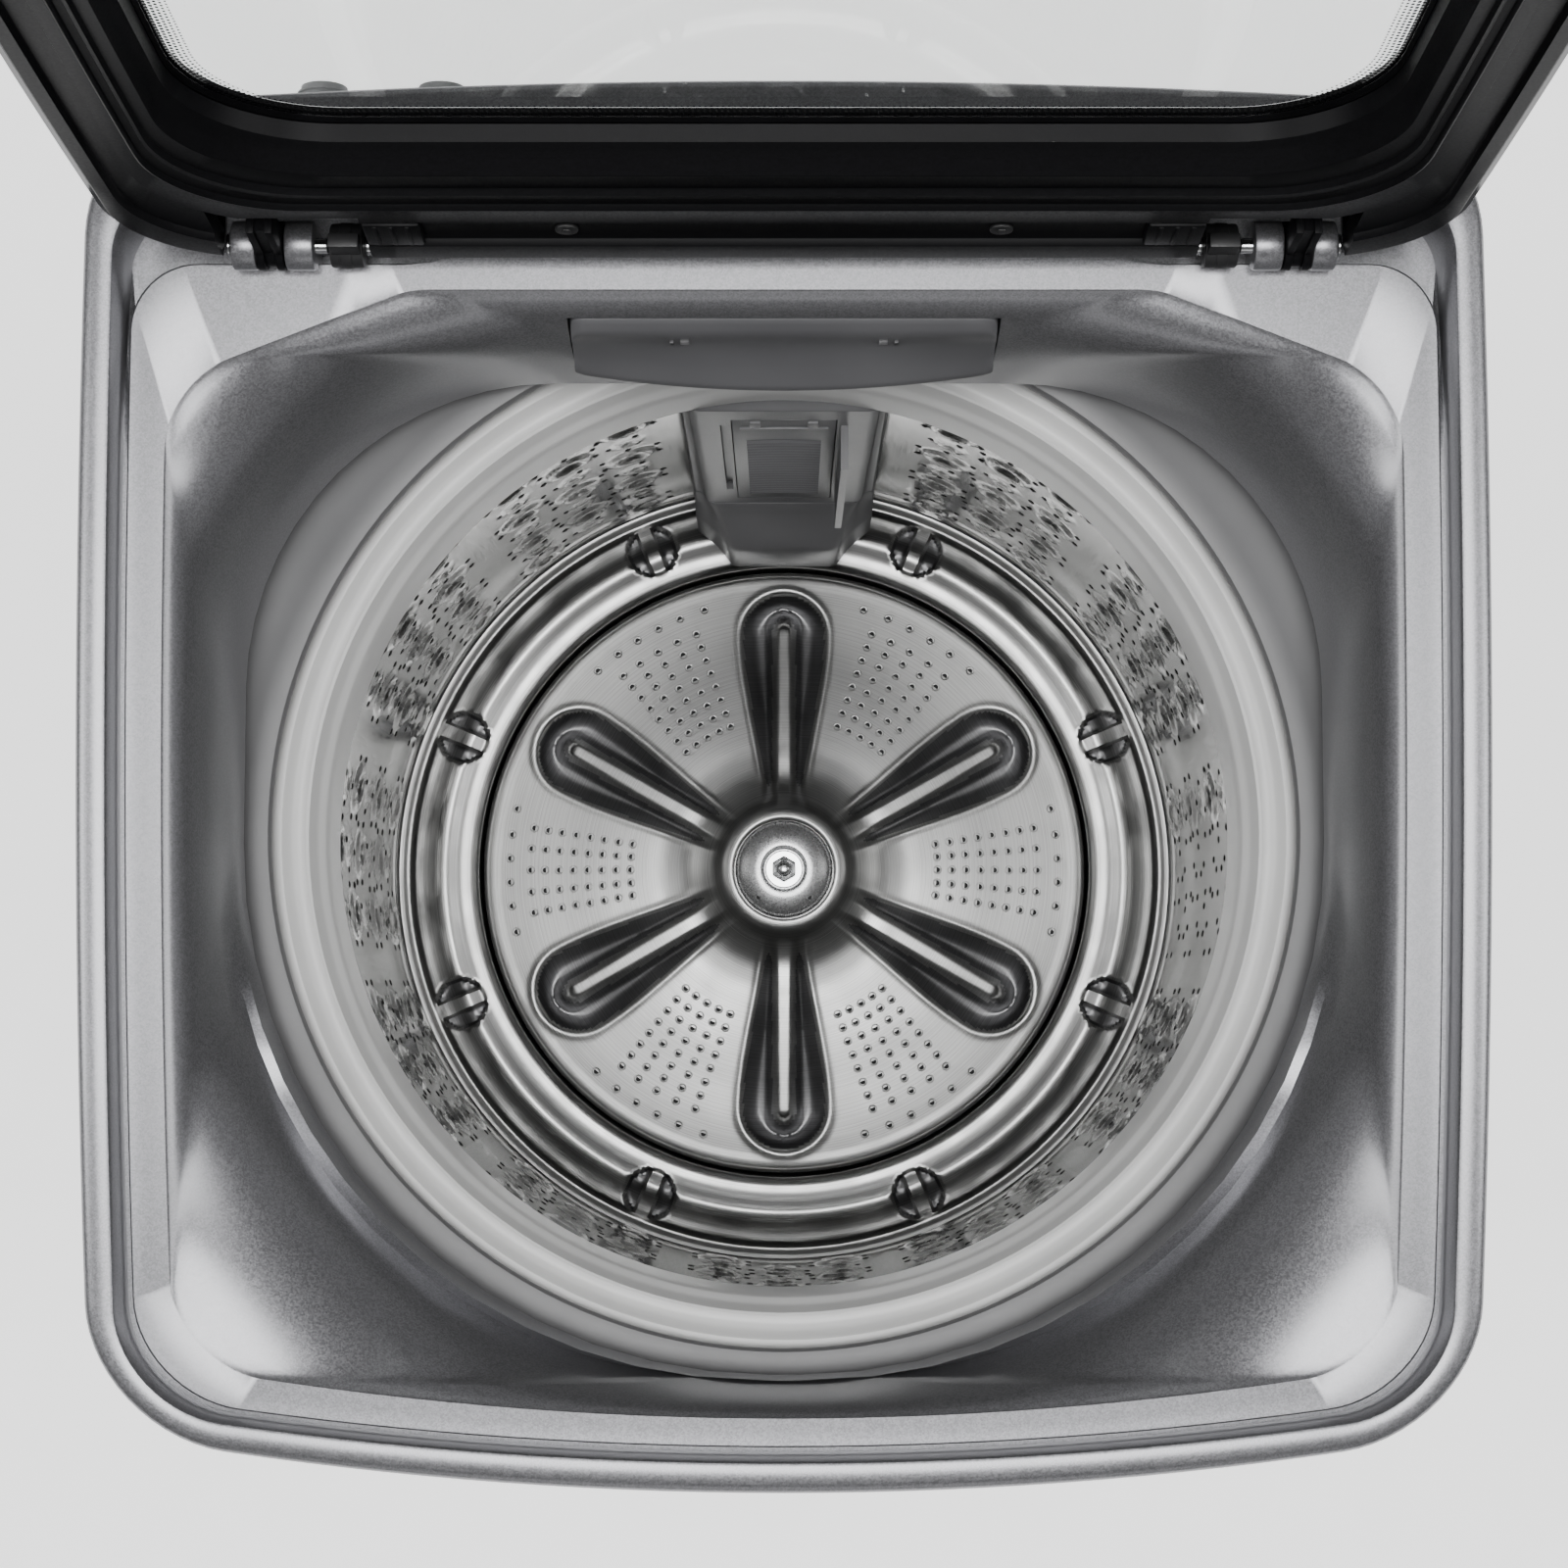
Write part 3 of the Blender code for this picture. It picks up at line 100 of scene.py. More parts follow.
LID_GAP = 0.0045
LID_TOP = 0.018
LID_PLATE = 0.0028
LID_SKIRT = 0.004
LID_INNER_FACE = 0.008
LID_WALL = 0.0035
GLASS_THICKNESS = 0.0031
KNUCKLE_RADIUS = 0.011
PIN_RADIUS = 0.0035
VALVE_PLACES = {"cold_inlet_valve": -0.160, "hot_inlet_valve": -0.215}
VALVE_HEIGHT = 0.955
VALVE_RADIUS = 0.0125
DRAWER_HALF_WIDTH = 0.0985
DRAWER_TOP = 0.9752
DRAWER_BOTTOM = 0.9262
DRAWER_REAR = 0.2195
COLUMN_HALF_WIDTH = 0.056
COLUMN_FACE = 0.2235
SERVICE_HALF_WIDTH = 0.262
SERVICE_BOTTOM = 0.085
SERVICE_TOP = 0.868
CABINET_REAR = 0.300
SHELL_BOTTOM = 0.0285

PAPER_GLOW = 1.15           # the studio paper is lit on its own, so that it stays white

# ---- How finely the looks are drawn ----
ROUND_STEPS = 160           # a full turn of a drum-sized ring
CORNER_STEPS = 14           # an outline's corner
SMALL_ROUND_STEPS = 40


# ---------------------------------------------------------------- colour and node helpers
def colour(code):
    """Linear RGBA of an sRGB hex code."""
    parts = [int(code[i:i + 2], 16) / 255 for i in (1, 3, 5)]
    linear = [part / 12.92 if part <= 0.04045 else ((part + 0.055) / 1.055) ** 2.4
              for part in parts]
    return (*linear, 1.0)


def add(tree, kind, sockets=None, **settings):
    """Adds one node. A socket's value is a number or another node's output."""
    made = tree.nodes.new("ShaderNode" + kind)
    for name, value in settings.items():
        setattr(made, name, value)
    for name, value in (sockets or {}).items():
        if isinstance(value, bpy.types.NodeSocket):
            tree.links.new(value, made.inputs[name])
        else:
            made.inputs[name].default_value = value
    return made


def start_finish(name, base, metallic, roughness, **sockets):
    """New material with its shader's uniform values; returns its tree, shader and place."""
    made = bpy.data.materials.new(name)
    made.use_nodes = True
    tree = made.node_tree
    shader = tree.nodes["Principled BSDF"]
    shader.inputs["Base Color"].default_value = colour(base)
    shader.inputs["Metallic"].default_value = metallic
    shader.inputs["Roughness"].default_value = roughness
    for key, value in sockets.items():
        shader.inputs[key.replace("_", " ")].default_value = value
    place = add(tree, "TexCoord").outputs["Object"]
    return made, tree, shader, place


def noise(tree, place, size_mm, detail=2.0, roughness=0.5):
    """Value of a noise whose blobs are about size_mm across."""
    made = add(tree, "TexNoise", {"Vector": place, "Scale": 1000 / size_mm, "Detail": detail,
                                  "Roughness": roughness})
    return made.outputs["Fac"]


def spread(tree, value, low, high, start=0.3, end=0.7):
    """Maps a pattern's middle range onto low to high."""
    made = add(tree, "MapRange", {"Value": value, "From Min": start, "From Max": end,
                                  "To Min": low, "To Max": high})
    return made.outputs["Result"]


def two_tone(tree, shader, value, dark, light):
    mix = add(tree, "Mix", data_type="RGBA")
    tree.links.new(value, mix.inputs["Factor"])
    # the colour sockets of a Mix node share their names with the float ones
    mix.inputs[6].default_value = colour(dark)
    mix.inputs[7].default_value = colour(light)
    tree.links.new(mix.outputs[2], shader.inputs["Base Color"])


def relief(tree, shader, value, depth_mm, strength=1.0):
    bump = add(tree, "Bump", {"Height": value, "Distance": depth_mm / 1000,
                              "Strength": strength})
    tree.links.new(bump.outputs["Normal"], shader.inputs["Normal"])


# ---------------------------------------------------------------- finishes
def moulded(name, dark, light, roughness, grain_mm=0.8, relief_mm=0.03, gloss_spread=0.06):
    """Moulded plastic: a fine spark-eroded grain that breaks up the gloss a little."""
    made, tree, shader, place = start_finish(name, dark, 0.0, roughness, IOR=1.50)
    grain = noise(tree, place, grain_mm, 3.0)
    broad = noise(tree, place, 60.0, 2.0)
    two_tone(tree, shader, spread(tree, broad, 0.0, 1.0), dark, light)
    rough = spread(tree, grain, roughness - gloss_spread, roughness + gloss_spread)
    tree.links.new(rough, shader.inputs["Roughness"])
    relief(tree, shader, grain, relief_mm)
    return made


def metallic_enamel(name, dark, light, roughness, flake_mm):
    """Silver metallic lacquer on ABS: aluminium flakes that glint under a satin coat."""
    made, tree, shader, place = start_finish(name, dark, 0.78, roughness)
    shader.inputs["Coat Weight"].default_value = 0.25
    shader.inputs["Coat Roughness"].default_value = 0.22
    flakes = add(tree, "TexVoronoi", {"Vector": place, "Scale": 1000 / flake_mm})
    tone = add(tree, "SeparateColor", {"Color": flakes.outputs["Color"]}).outputs["Red"]
    two_tone(tree, shader, spread(tree, tone, 0.0, 1.0, 0.0, 1.0), dark, light)
    rough = spread(tree, tone, roughness - 0.05, roughness + 0.07, 0.0, 1.0)
    tree.links.new(rough, shader.inputs["Roughness"])
    relief(tree, shader, tone, 0.010, 0.5)
    return made


def turned_steel(name, dark, light, roughness, line_mm, relief_mm):
    """Stainless steel brushed on a turntable: fine concentric lines about the drum's axis."""
    made, tree, shader, place = start_finish(name, dark, 1.0, roughness, Anisotropic=0.65)
    centred = add(tree, "Mapping", {"Vector": place, "Location": (0.0, -DRUM_AXIS_Y, 0.0)})
    flat = add(tree, "VectorMath", {0: centred.outputs["Vector"], 1: (1.0, 1.0, 0.0)},
               operation="MULTIPLY")
    radius = add(tree, "VectorMath", {0: flat.outputs["Vector"]}, operation="LENGTH")
    lines = add(tree, "TexNoise", {"W": radius.outputs["Value"], "Scale": 1000 / line_mm,
                                   "Detail": 3.0}, noise_dimensions="1D").outputs["Fac"]
    cloud = noise(tree, place, 25.0, 3.0)
    two_tone(tree, shader, spread(tree, lines, 0.0, 1.0), dark, light)
    rough = spread(tree, cloud, roughness - 0.04, roughness + 0.05)
    tree.links.new(rough, shader.inputs["Roughness"])
    relief(tree, shader, lines, relief_mm)
    tangent = add(tree, "Tangent", direction_type="RADIAL", axis="Z")
    tree.links.new(tangent.outputs["Tangent"], shader.inputs["Tangent"])
    return made


def rolled_steel(name, dark, light, roughness, stretch, line_mm, relief_mm, metallic=1.0):
    """Rolled or drawn metal: hairlines along one direction, set by the stretch."""
    made, tree, shader, place = start_finish(name, dark, metallic, roughness)
    scaled = add(tree, "Mapping", {"Vector": place, "Scale": stretch})
    lines = noise(tree, scaled.outputs["Vector"], line_mm, 3.0)
    two_tone(tree, shader, spread(tree, lines, 0.0, 1.0), dark, light)
    rough = spread(tree, lines, roughness - 0.04, roughness + 0.06)
    tree.links.new(rough, shader.inputs["Roughness"])
    relief(tree, shader, lines, relief_mm)
    return made


def galvanised(name):
    """Hot-dip galvanised sheet: dull zinc crystals a few millimetres across."""
    made, tree, shader, place = start_finish(name, "#A4A8AA", 1.0, 0.42)
    crystals = add(tree, "TexVoronoi", {"Vector": place, "Scale": 1000 / 9.0})
    tone = add(tree, "SeparateColor", {"Color": crystals.outputs["Color"]}).outputs["Green"]
    two_tone(tree, shader, spread(tree, tone, 0.0, 1.0, 0.0, 1.0), "#989CA0", "#B4B7B9")
    rough = spread(tree, tone, 0.34, 0.52, 0.0, 1.0)
    tree.links.new(rough, shader.inputs["Roughness"])
    relief(tree, shader, noise(tree, place, 1.2), 0.02)
    return made


def gloss_black(name):
    """Piano-black ABS: a deep gloss with a faint waviness from the mould."""
    made, tree, shader, place = start_finish(name, "#0B0B0C", 0.0, 0.10, IOR=1.53)
    shader.inputs["Coat Weight"].default_value = 0.3
    shader.inputs["Coat Roughness"].default_value = 0.05
    wave = noise(tree, place, 18.0, 1.0)
    two_tone(tree, shader, spread(tree, wave, 0.0, 1.0), "#09090A", "#101012")
    rough = spread(tree, noise(tree, place, 3.0), 0.08, 0.15)
    tree.links.new(rough, shader.inputs["Roughness"])
    relief(tree, shader, wave, 0.03)
    return made


def satin_black(name):
    """Black ABS from a satin mould: its edges catch the light and its faces stay dark."""
    made, tree, shader, place = start_finish(name, "#0C0C0D", 0.0, 0.42, IOR=1.50)
    shader.inputs["Specular IOR Level"].default_value = 0.10
    grain = noise(tree, place, 1.2, 3.0)
    two_tone(tree, shader, spread(tree, grain, 0.0, 1.0), "#070708", "#0C0C0E")
    tree.links.new(spread(tree, grain, 0.38, 0.48), shader.inputs["Roughness"])
    relief(tree, shader, grain, 0.01)
    return made


def clear_glass(name):
    """Toughened float glass: clear, with the faint roller waves of the furnace."""
    made, tree, shader, place = start_finish(name, "#FDFFFE", 0.0, 0.0, IOR=1.45)
    shader.inputs["Transmission Weight"].default_value = 1.0
    wave = noise(tree, place, 120.0, 1.0)
    tree.links.new(spread(tree, wave, 0.0, 0.015), shader.inputs["Roughness"])
    return made


def copper_winding(name):
    """Enamelled copper wire laid in turns: thin bright strands side by side."""
    made, tree, shader, place = start_finish(name, "#A65A2C", 0.85, 0.35)
    wires = add(tree, "TexWave", {"Vector": place, "Scale": 260.0, "Distortion": 0.4},
                bands_direction="Z").outputs["Fac"]
    two_tone(tree, shader, wires, "#7A3B1A", "#C07844")
    relief(tree, shader, wires, 0.3)
    return made


def soft_rubber(name):
    """Moulded rubber: matt, slightly bloomed."""
    made, tree, shader, place = start_finish(name, "#171717", 0.0, 0.8, IOR=1.52)
    bloom = noise(tree, place, 6.0, 3.0)
    two_tone(tree, shader, spread(tree, bloom, 0.0, 1.0), "#141414", "#202021")
    relief(tree, shader, noise(tree, place, 0.7), 0.05)
    return made


def studio_floor(name):
    """Matt white studio paper."""
    made, tree, shader, place = start_finish(name, "#F7F7F7", 0.0, 0.9)
    shader.inputs["Emission Color"].default_value = (1.0, 1.0, 1.0, 1.0)
    shader.inputs["Emission Strength"].default_value = PAPER_GLOW
    two_tone(tree, shader, spread(tree, noise(tree, place, 40.0), 0.0, 1.0), "#F5F5F5", "#FAFAFA")
    return made


FINISHES = {
    # Silver metallic lacquer on ABS: bright satin patches, a fine glint in the shade
    "cover_paint": metallic_enamel("silver_lacquered_abs", "#77777A", "#8F8F92", 0.33, 0.7),
    # The same lacquer on the steel wrapper
    "cabinet_paint": metallic_enamel("silver_lacquered_steel", "#87888B", "#9FA0A3", 0.40, 0.7),
    "zinc_steel": galvanised("galvanised_sheet"),
    "base_plastic": moulded("black_polypropylene", "#161617", "#1E1E1F", 0.48),
    "rubber": soft_rubber("moulded_rubber"),
    "housing_grey": moulded("grey_polypropylene", "#8E8F90", "#999A9B", 0.50),
    # Satin ABS: dark grey, soft wide highlights
    "drawer_grey": moulded("dark_satin_abs", "#4B4B4D", "#525254", 0.34, 0.6, 0.015, 0.04),
    "lid_black": gloss_black("piano_black_abs"),
    "lid_glass": clear_glass("toughened_glass"),
    # Deep-drawn 430 stainless steel, polished: it mirrors light and dark in streaks
    "drum_steel": rolled_steel("polished_stainless", "#8E8E8D", "#A6A6A5", 0.17,
                               (1.0, 1.0, 0.06), 1.2, 0.006),
    "plate_steel": turned_steel("turntable_brushed_stainless", "#9B9B9A", "#B9B9B8", 0.33,
                                0.7, 0.02),
    "balance_plastic": moulded("light_grey_polypropylene", "#C0C0BF", "#C8C8C7", 0.36, 1.2,
                               0.01, 0.03),
    "column_grey": moulded("column_grey_abs", "#5E5E60", "#69696B", 0.40, 0.6, 0.02, 0.05),
    "hub_grey": rolled_steel("hub_lacquered_abs", "#A4A4A5", "#B0B0B1", 0.27, (1.0, 1.0, 1.0),
                             1.5, 0.003, metallic=0.8),
    "tub_plastic": moulded("filled_polypropylene", "#8C8C8B", "#969695", 0.45),
    "cast_aluminium": rolled_steel("die_cast_aluminium", "#9A9B9D", "#ACADAF", 0.48,
                                   (1.0, 1.0, 1.0), 1.5, 0.08),
    "bright_steel": rolled_steel("ground_bright_steel", "#BFC0C1", "#D0D1D2", 0.16,
                                 (1.0, 1.0, 1.0), 2.0, 0.005),
    "spring_steel": rolled_steel("black_oxide_spring_wire", "#3B3B3E", "#4A4A4D", 0.38,
                                 (1.0, 1.0, 1.0), 1.5, 0.01),
    "winding": copper_winding("enamelled_copper"),
    "button_grey": metallic_enamel("button_lacquered_abs", "#A2A2A4", "#B6B6B8", 0.30, 0.6),
    "display_black": gloss_black("display_acrylic"),
}
SATIN_BLACK = satin_black("satin_black_abs")
# Black for the floors of the punched holes: painted shade inside the holes
HOLE_PAINTED_SHADE = soft_rubber("hole_shadow_black")
# Darker, duller steel for the pressed hollows: painted shade in the recesses
HOLLOW_PAINTED_SHADE_STEEL = turned_steel("hollow_painted_shade_stainless", "#6F6F70", "#838384", 0.38, 0.9, 0.012)
# Tub cover ring drawn darker than the tub's grey plastic: painted shade under the bowl's edge
TUB_RING_PAINTED_SHADE = moulded("tub_ring_painted_shade_polypropylene", "#5B5B5C", "#646465", 0.42)
PICTOGRAM_GREY = moulded("pictogram_dark_grey", "#323234", "#38383A", 0.45)


# ---------------------------------------------------------------- modelling helpers
def to_piece(name, bm, finish, body, nodes=(), place=None, smooth=32):
    """Makes the piece: normals out, its place in its mesh, riding on its body."""
    bmesh.ops.remove_doubles(bm, verts=bm.verts, dist=1e-6)
    bmesh.ops.recalc_face_normals(bm, faces=bm.faces)
    bmesh.ops.transform(bm, matrix=place or Matrix.Translation((0, SHIFT, 0)), verts=bm.verts)
    mesh = bpy.data.meshes.new(name)
    bm.to_mesh(mesh)
    bm.free()
    mesh.shade_smooth()
    mesh.set_sharp_from_angle(angle=math.radians(smooth))
    mesh.materials.append(finish)
    obj = bpy.data.objects.new(name, mesh)
    bpy.context.scene.collection.objects.link(obj)
    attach(obj, body)
    if nodes:
        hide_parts(*nodes)
    return obj


def ring_edges(row):
    return [next(edge for edge in a.link_edges if edge.other_vert(a) is b)
            for a, b in zip(row, row[1:] + row[:1])]


def skin(loops, closed=True, bm=None):
    """Extrudes the first loop to each next one. A closed skin comes back to its first loop,
    and an open one is capped at both ends."""
    bm = bm or bmesh.new()
    row = [bm.verts.new(point) for point in loops[0]]
    for a, b in zip(row, row[1:] + row[:1]):
        bm.edges.new((a, b))
    first = row
    for loop in loops[1:] + (loops[:1] if closed else []):
        made = bmesh.ops.extrude_edge_only(bm, edges=ring_edges(row))["geom"]
        fresh = {item for item in made if isinstance(item, bmesh.types.BMVert)}
        next_row = []
        for vert, point in zip(row, loop):
            copy = next(edge.other_vert(vert) for edge in vert.link_edges
                        if edge.other_vert(vert) in fresh)
            copy.co = point
            next_row.append(copy)
        row = next_row
    if closed:
        bmesh.ops.remove_doubles(bm, verts=first + row, dist=1e-7)
    else:
        bmesh.ops.contextual_create(bm, geom=ring_edges(first))
        bmesh.ops.contextual_create(bm, geom=ring_edges(row))
    return bm


def spun(profile, steps, centre=(0.0, DRUM_Y, 0.0), bm=None):
    """Profile of (radius, height) turned once; it is a ring unless it starts on the axis."""
    bm = bm or bmesh.new()
    verts = [bm.verts.new((radius, 0.0, height)) for radius, height in profile]
    edges = [bm.edges.new(pair) for pair in zip(verts, verts[1:])]
    if profile[0][0] > 1e-6:
        edges.append(bm.edges.new((verts[-1], verts[0])))
    before = set(bm.verts) - set(verts)
    bmesh.ops.spin(bm, geom=verts + edges, axis=(0, 0, 1), cent=(0, 0, 0),
                   angle=2 * math.pi, steps=steps, use_merge=True)
    fresh = [vert for vert in bm.verts if vert not in before]
    bmesh.ops.remove_doubles(bm, verts=fresh, dist=1e-6)
    fresh = [vert for vert in bm.verts if vert not in before]
    bmesh.ops.translate(bm, verts=fresh, vec=centre)
    return bm


def soften(bm, width, segments=2, angle=35, edges=None):
    """Rounds every edge sharper than the angle."""
    chosen = [edge for edge in (edges or bm.edges)
              if len(edge.link_faces) == 2 and edge.calc_face_angle(0) > math.radians(angle)]
    bmesh.ops.bevel(bm, geom=chosen, offset=width, segments=segments, profile=0.5,
                    affect="EDGES", material=-1, clamp_overlap=True)


def add_block(bm, low, high, bevel=0.0, turn=None, segments=2):
    """Rounded block between two corners, turned by a matrix if one is given."""
    low, high = Vector(low), Vector(high)
    verts = bmesh.ops.create_cube(bm, size=1.0)["verts"]
    bmesh.ops.scale(bm, verts=verts, vec=high - low)
    bmesh.ops.translate(bm, verts=verts, vec=(low + high) / 2)
    if turn:
        bmesh.ops.transform(bm, matrix=turn, verts=verts)
    if bevel:
        edges = list({edge for vert in verts for edge in vert.link_edges})
        bmesh.ops.bevel(bm, geom=edges, offset=bevel, segments=segments, profile=0.5,
                        affect="EDGES", material=-1, clamp_overlap=True)


def add_rod(bm, start, end, radius, steps=SMALL_ROUND_STEPS, bevel=0.0, end_radius=None):
    """Round bar from start to end with rounded rims; it tapers if end_radius is given."""
    start, end = Vector(start), Vector(end)
    far = radius if end_radius is None else end_radius
    verts = bmesh.ops.create_cone(bm, cap_ends=True, segments=steps, radius1=radius,
                                  radius2=far, depth=(end - start).length)["verts"]
    turn = Vector((0, 0, 1)).rotation_difference(end - start)
    bmesh.ops.rotate(bm, verts=verts, matrix=turn.to_matrix())
    bmesh.ops.translate(bm, verts=verts, vec=(start + end) / 2)
    if bevel:
        rims = list({edge for vert in verts for edge in vert.link_edges
                     if edge.calc_face_angle(0) > 0.8})
        bmesh.ops.bevel(bm, geom=rims, offset=bevel, segments=2, profile=0.5,
                        affect="EDGES", material=-1, clamp_overlap=True)


def cut(obj, bm):
    """Takes the shape in bm away from obj."""
    bmesh.ops.recalc_face_normals(bm, faces=bm.faces)
    bmesh.ops.translate(bm, verts=bm.verts, vec=(0, SHIFT, 0))
    mesh = bpy.data.meshes.new("cutter")
    bm.to_mesh(mesh)
    bm.free()
    tool = bpy.data.objects.new("cutter", mesh)
    bpy.context.scene.collection.objects.link(tool)
    modifier = obj.modifiers.new("cut", "BOOLEAN")
    modifier.operation = "DIFFERENCE"
    modifier.object = tool
    graph = bpy.context.evaluated_depsgraph_get()
    cut_mesh = bpy.data.meshes.new_from_object(obj.evaluated_get(graph))
    obj.modifiers.clear()
    old, obj.data = obj.data, cut_mesh
    bpy.data.meshes.remove(old)
    bpy.data.objects.remove(tool)
    cut_mesh.name = obj.name


def step(low, high, value):
    """Smooth rise from 0 at low to 1 at high."""
    share = min(max((value - low) / (high - low), 0.0), 1.0)
    return share * share * (3 - 2 * share)


def curve_through(points, steps):
    """Smooth line through points (Catmull-Rom), steps to a stretch."""
    padded = [points[0]] + list(points) + [points[-1]]
    line = []
    for a, b, c, d in zip(padded, padded[1:], padded[2:], padded[3:]):
        for i in range(steps):
            t = i / steps
            line.append(tuple(
                0.5 * (2 * q + (r - p) * t + (2 * p - 5 * q + 4 * r - s) * t * t
                       + (3 * q - p - 3 * r + s) * t ** 3)
                for p, q, r, s in zip(a, b, c, d)))
    return line + [tuple(points[-1])]


# ---------------------------------------------------------------- outlines
def fillet(before, corner, after, radius, steps):
    into = (corner - before).normalized()
    out = (after - corner).normalized()
    turn = math.atan2(into.x * out.y - into.y * out.x, into.dot(out))
    if abs(turn) < 0.02:
        return [corner + into * 0.004 * (2 * i / steps - 1) for i in range(steps + 1)]
    start = corner - into * radius * math.tan(abs(turn) / 2)
    side = Vector((-into.y, into.x)) * (1 if turn > 0 else -1)
    centre = start + side * radius
    return [centre + Matrix.Rotation(turn * i / steps, 2) @ (start - centre)
            for i in range(steps + 1)]


def between(start, end, steps):
    return [start.lerp(end, i / steps) for i in range(1, steps)]


def outline(half_x, front, rear, front_radius, rear_radius, bow=1.0, rear_bow=None,
            shoulder=None):
    """Closed plan outline of the machine's family of bowed rectangles, front middle first."""
    inner_x, drop = shoulder or (half_x * 0.6, 0.0)
    middle, first = Vector((0.0, front)), Vector((half_x, front))
    second, third = Vector((half_x, rear - drop)), Vector((inner_x, rear))
    last = Vector((0.0, rear))
    arc_one = fillet(middle, first, second, front_radius, CORNER_STEPS)
    arc_two = fillet(first, second, third, rear_radius, CORNER_STEPS)
    arc_three = fillet(second, third, last, 0.050, 5)
    half = [middle] + between(middle, arc_one[0], 14) + arc_one
    half += between(arc_one[-1], arc_two[0], 14) + arc_two
    half += between(arc_two[-1], arc_three[0], 5) + arc_three
    half += between(arc_three[-1], last, 12) + [last]
    rear_share = bow * REAR_BOW if rear_bow is None else rear_bow
    points = []
    for x, y in half:
        share = (x / HALF_W) ** 2 * (bow * FRONT_BOW if y < 0 else rear_share)
        side = bow * SIDE_BOW * (y / HALF_D) ** 2
        points.append((x * (1 - side), y * (1 - share)))
    return points + [(-x, y) for x, y in points[-2:0:-1]]


def blend(first, second, share):
    return [(a[0] + (b[0] - a[0]) * share, a[1] + (b[1] - a[1]) * share)
            for a, b in zip(first, second)]


def rim_height(y, depth=0.0):
    return RIM_HEIGHT + y * math.tan(RIM_SLOPE) - depth


def sloped(points, depth):
    """Points a given depth below the sloping rim; depth may be a function of y."""
    deep = depth if callable(depth) else lambda y: depth
    return [(x, y, rim_height(y, deep(y))) for x, y in points]


def flat(points, height):
    return [(x, y, height) for x, y in points]


def cover_outline(inset):
    return outline(HALF_W - inset, -HALF_D + inset, HALF_D - inset,
                   CORNER_RADIUS - inset, CORNER_RADIUS - inset)


def well_outline(inset, rear_inset):
    return outline(HALF_W - RIM_WIDTH - inset, -HALF_D + RIM_WIDTH + inset,
                   WELL_REAR - rear_inset, CORNER_RADIUS - RIM_WIDTH, 0.030, rear_bow=0.0)


def opening_outline(grow):
    return outline(HALF_W - OPENING_SIDE + grow, -HALF_D + OPENING_FRONT - grow,
                   HALF_D - OPENING_REAR + grow, 0.040 + grow, 0.045 + grow,
                   bow=1.2, rear_bow=0.0, shoulder=(0.172, 0.042))


def bowl_outline(grow):
    straight = BOWL_RADIUS - BOWL_REAR_RADIUS
    return outline(BOWL_RADIUS + grow, DRUM_Y - BOWL_RADIUS - grow, BOWL_REAR_Y + grow,
                   BOWL_RADIUS - 0.007 + grow, BOWL_REAR_RADIUS + grow, bow=0.0,
                   shoulder=(straight * 0.7, 0.0))


def shell_outline(inset):
    edge = 0.0015 + inset
    return outline(HALF_W - edge, -HALF_D + edge, CABINET_REAR - inset,
                   CORNER_RADIUS - edge, 0.030 - inset, rear_bow=0.0)


def lid_outline(inset):
    edge = RIM_WIDTH + LID_GAP + inset
    points = outline(HALF_W - edge, -HALF_D + edge - 0.0015, HINGE_Y + 0.001 - inset,
                     CORNER_RADIUS - edge + 0.003, 0.060 - inset, rear_bow=0.0)
    return [(x, y - HINGE_Y) for x, y in points]


def window_outline(grow):
    edge = RIM_WIDTH + LID_GAP
    points = outline(HALF_W - edge - 0.055 + grow, -HALF_D + edge + 0.072 - grow,
                     HINGE_Y + 0.001 - 0.114 + grow, 0.050 + grow, 0.060 + grow, rear_bow=0.0)
    return [(x, y - HINGE_Y) for x, y in points]


# ---------------------------------------------------------------- top cover
def trough_depth(y):
    share = min(max((y - 0.185) / 0.030, 0.0), 1.0)
    return GROOVE_DEPTH + (TROUGH_DEPTH - GROOVE_DEPTH) * share


def stepped(points):
    """Moves the trough's front edge back between the hinges."""
    moved = []
    for x, y in points:
        near_rear = step(0.20, 0.232, y)
        share = 1 - step(LEDGE_STEP_X - 0.004, LEDGE_STEP_X + 0.002, abs(x))
        moved.append((x, y + LEDGE_STEP * share * near_rear))
    return moved


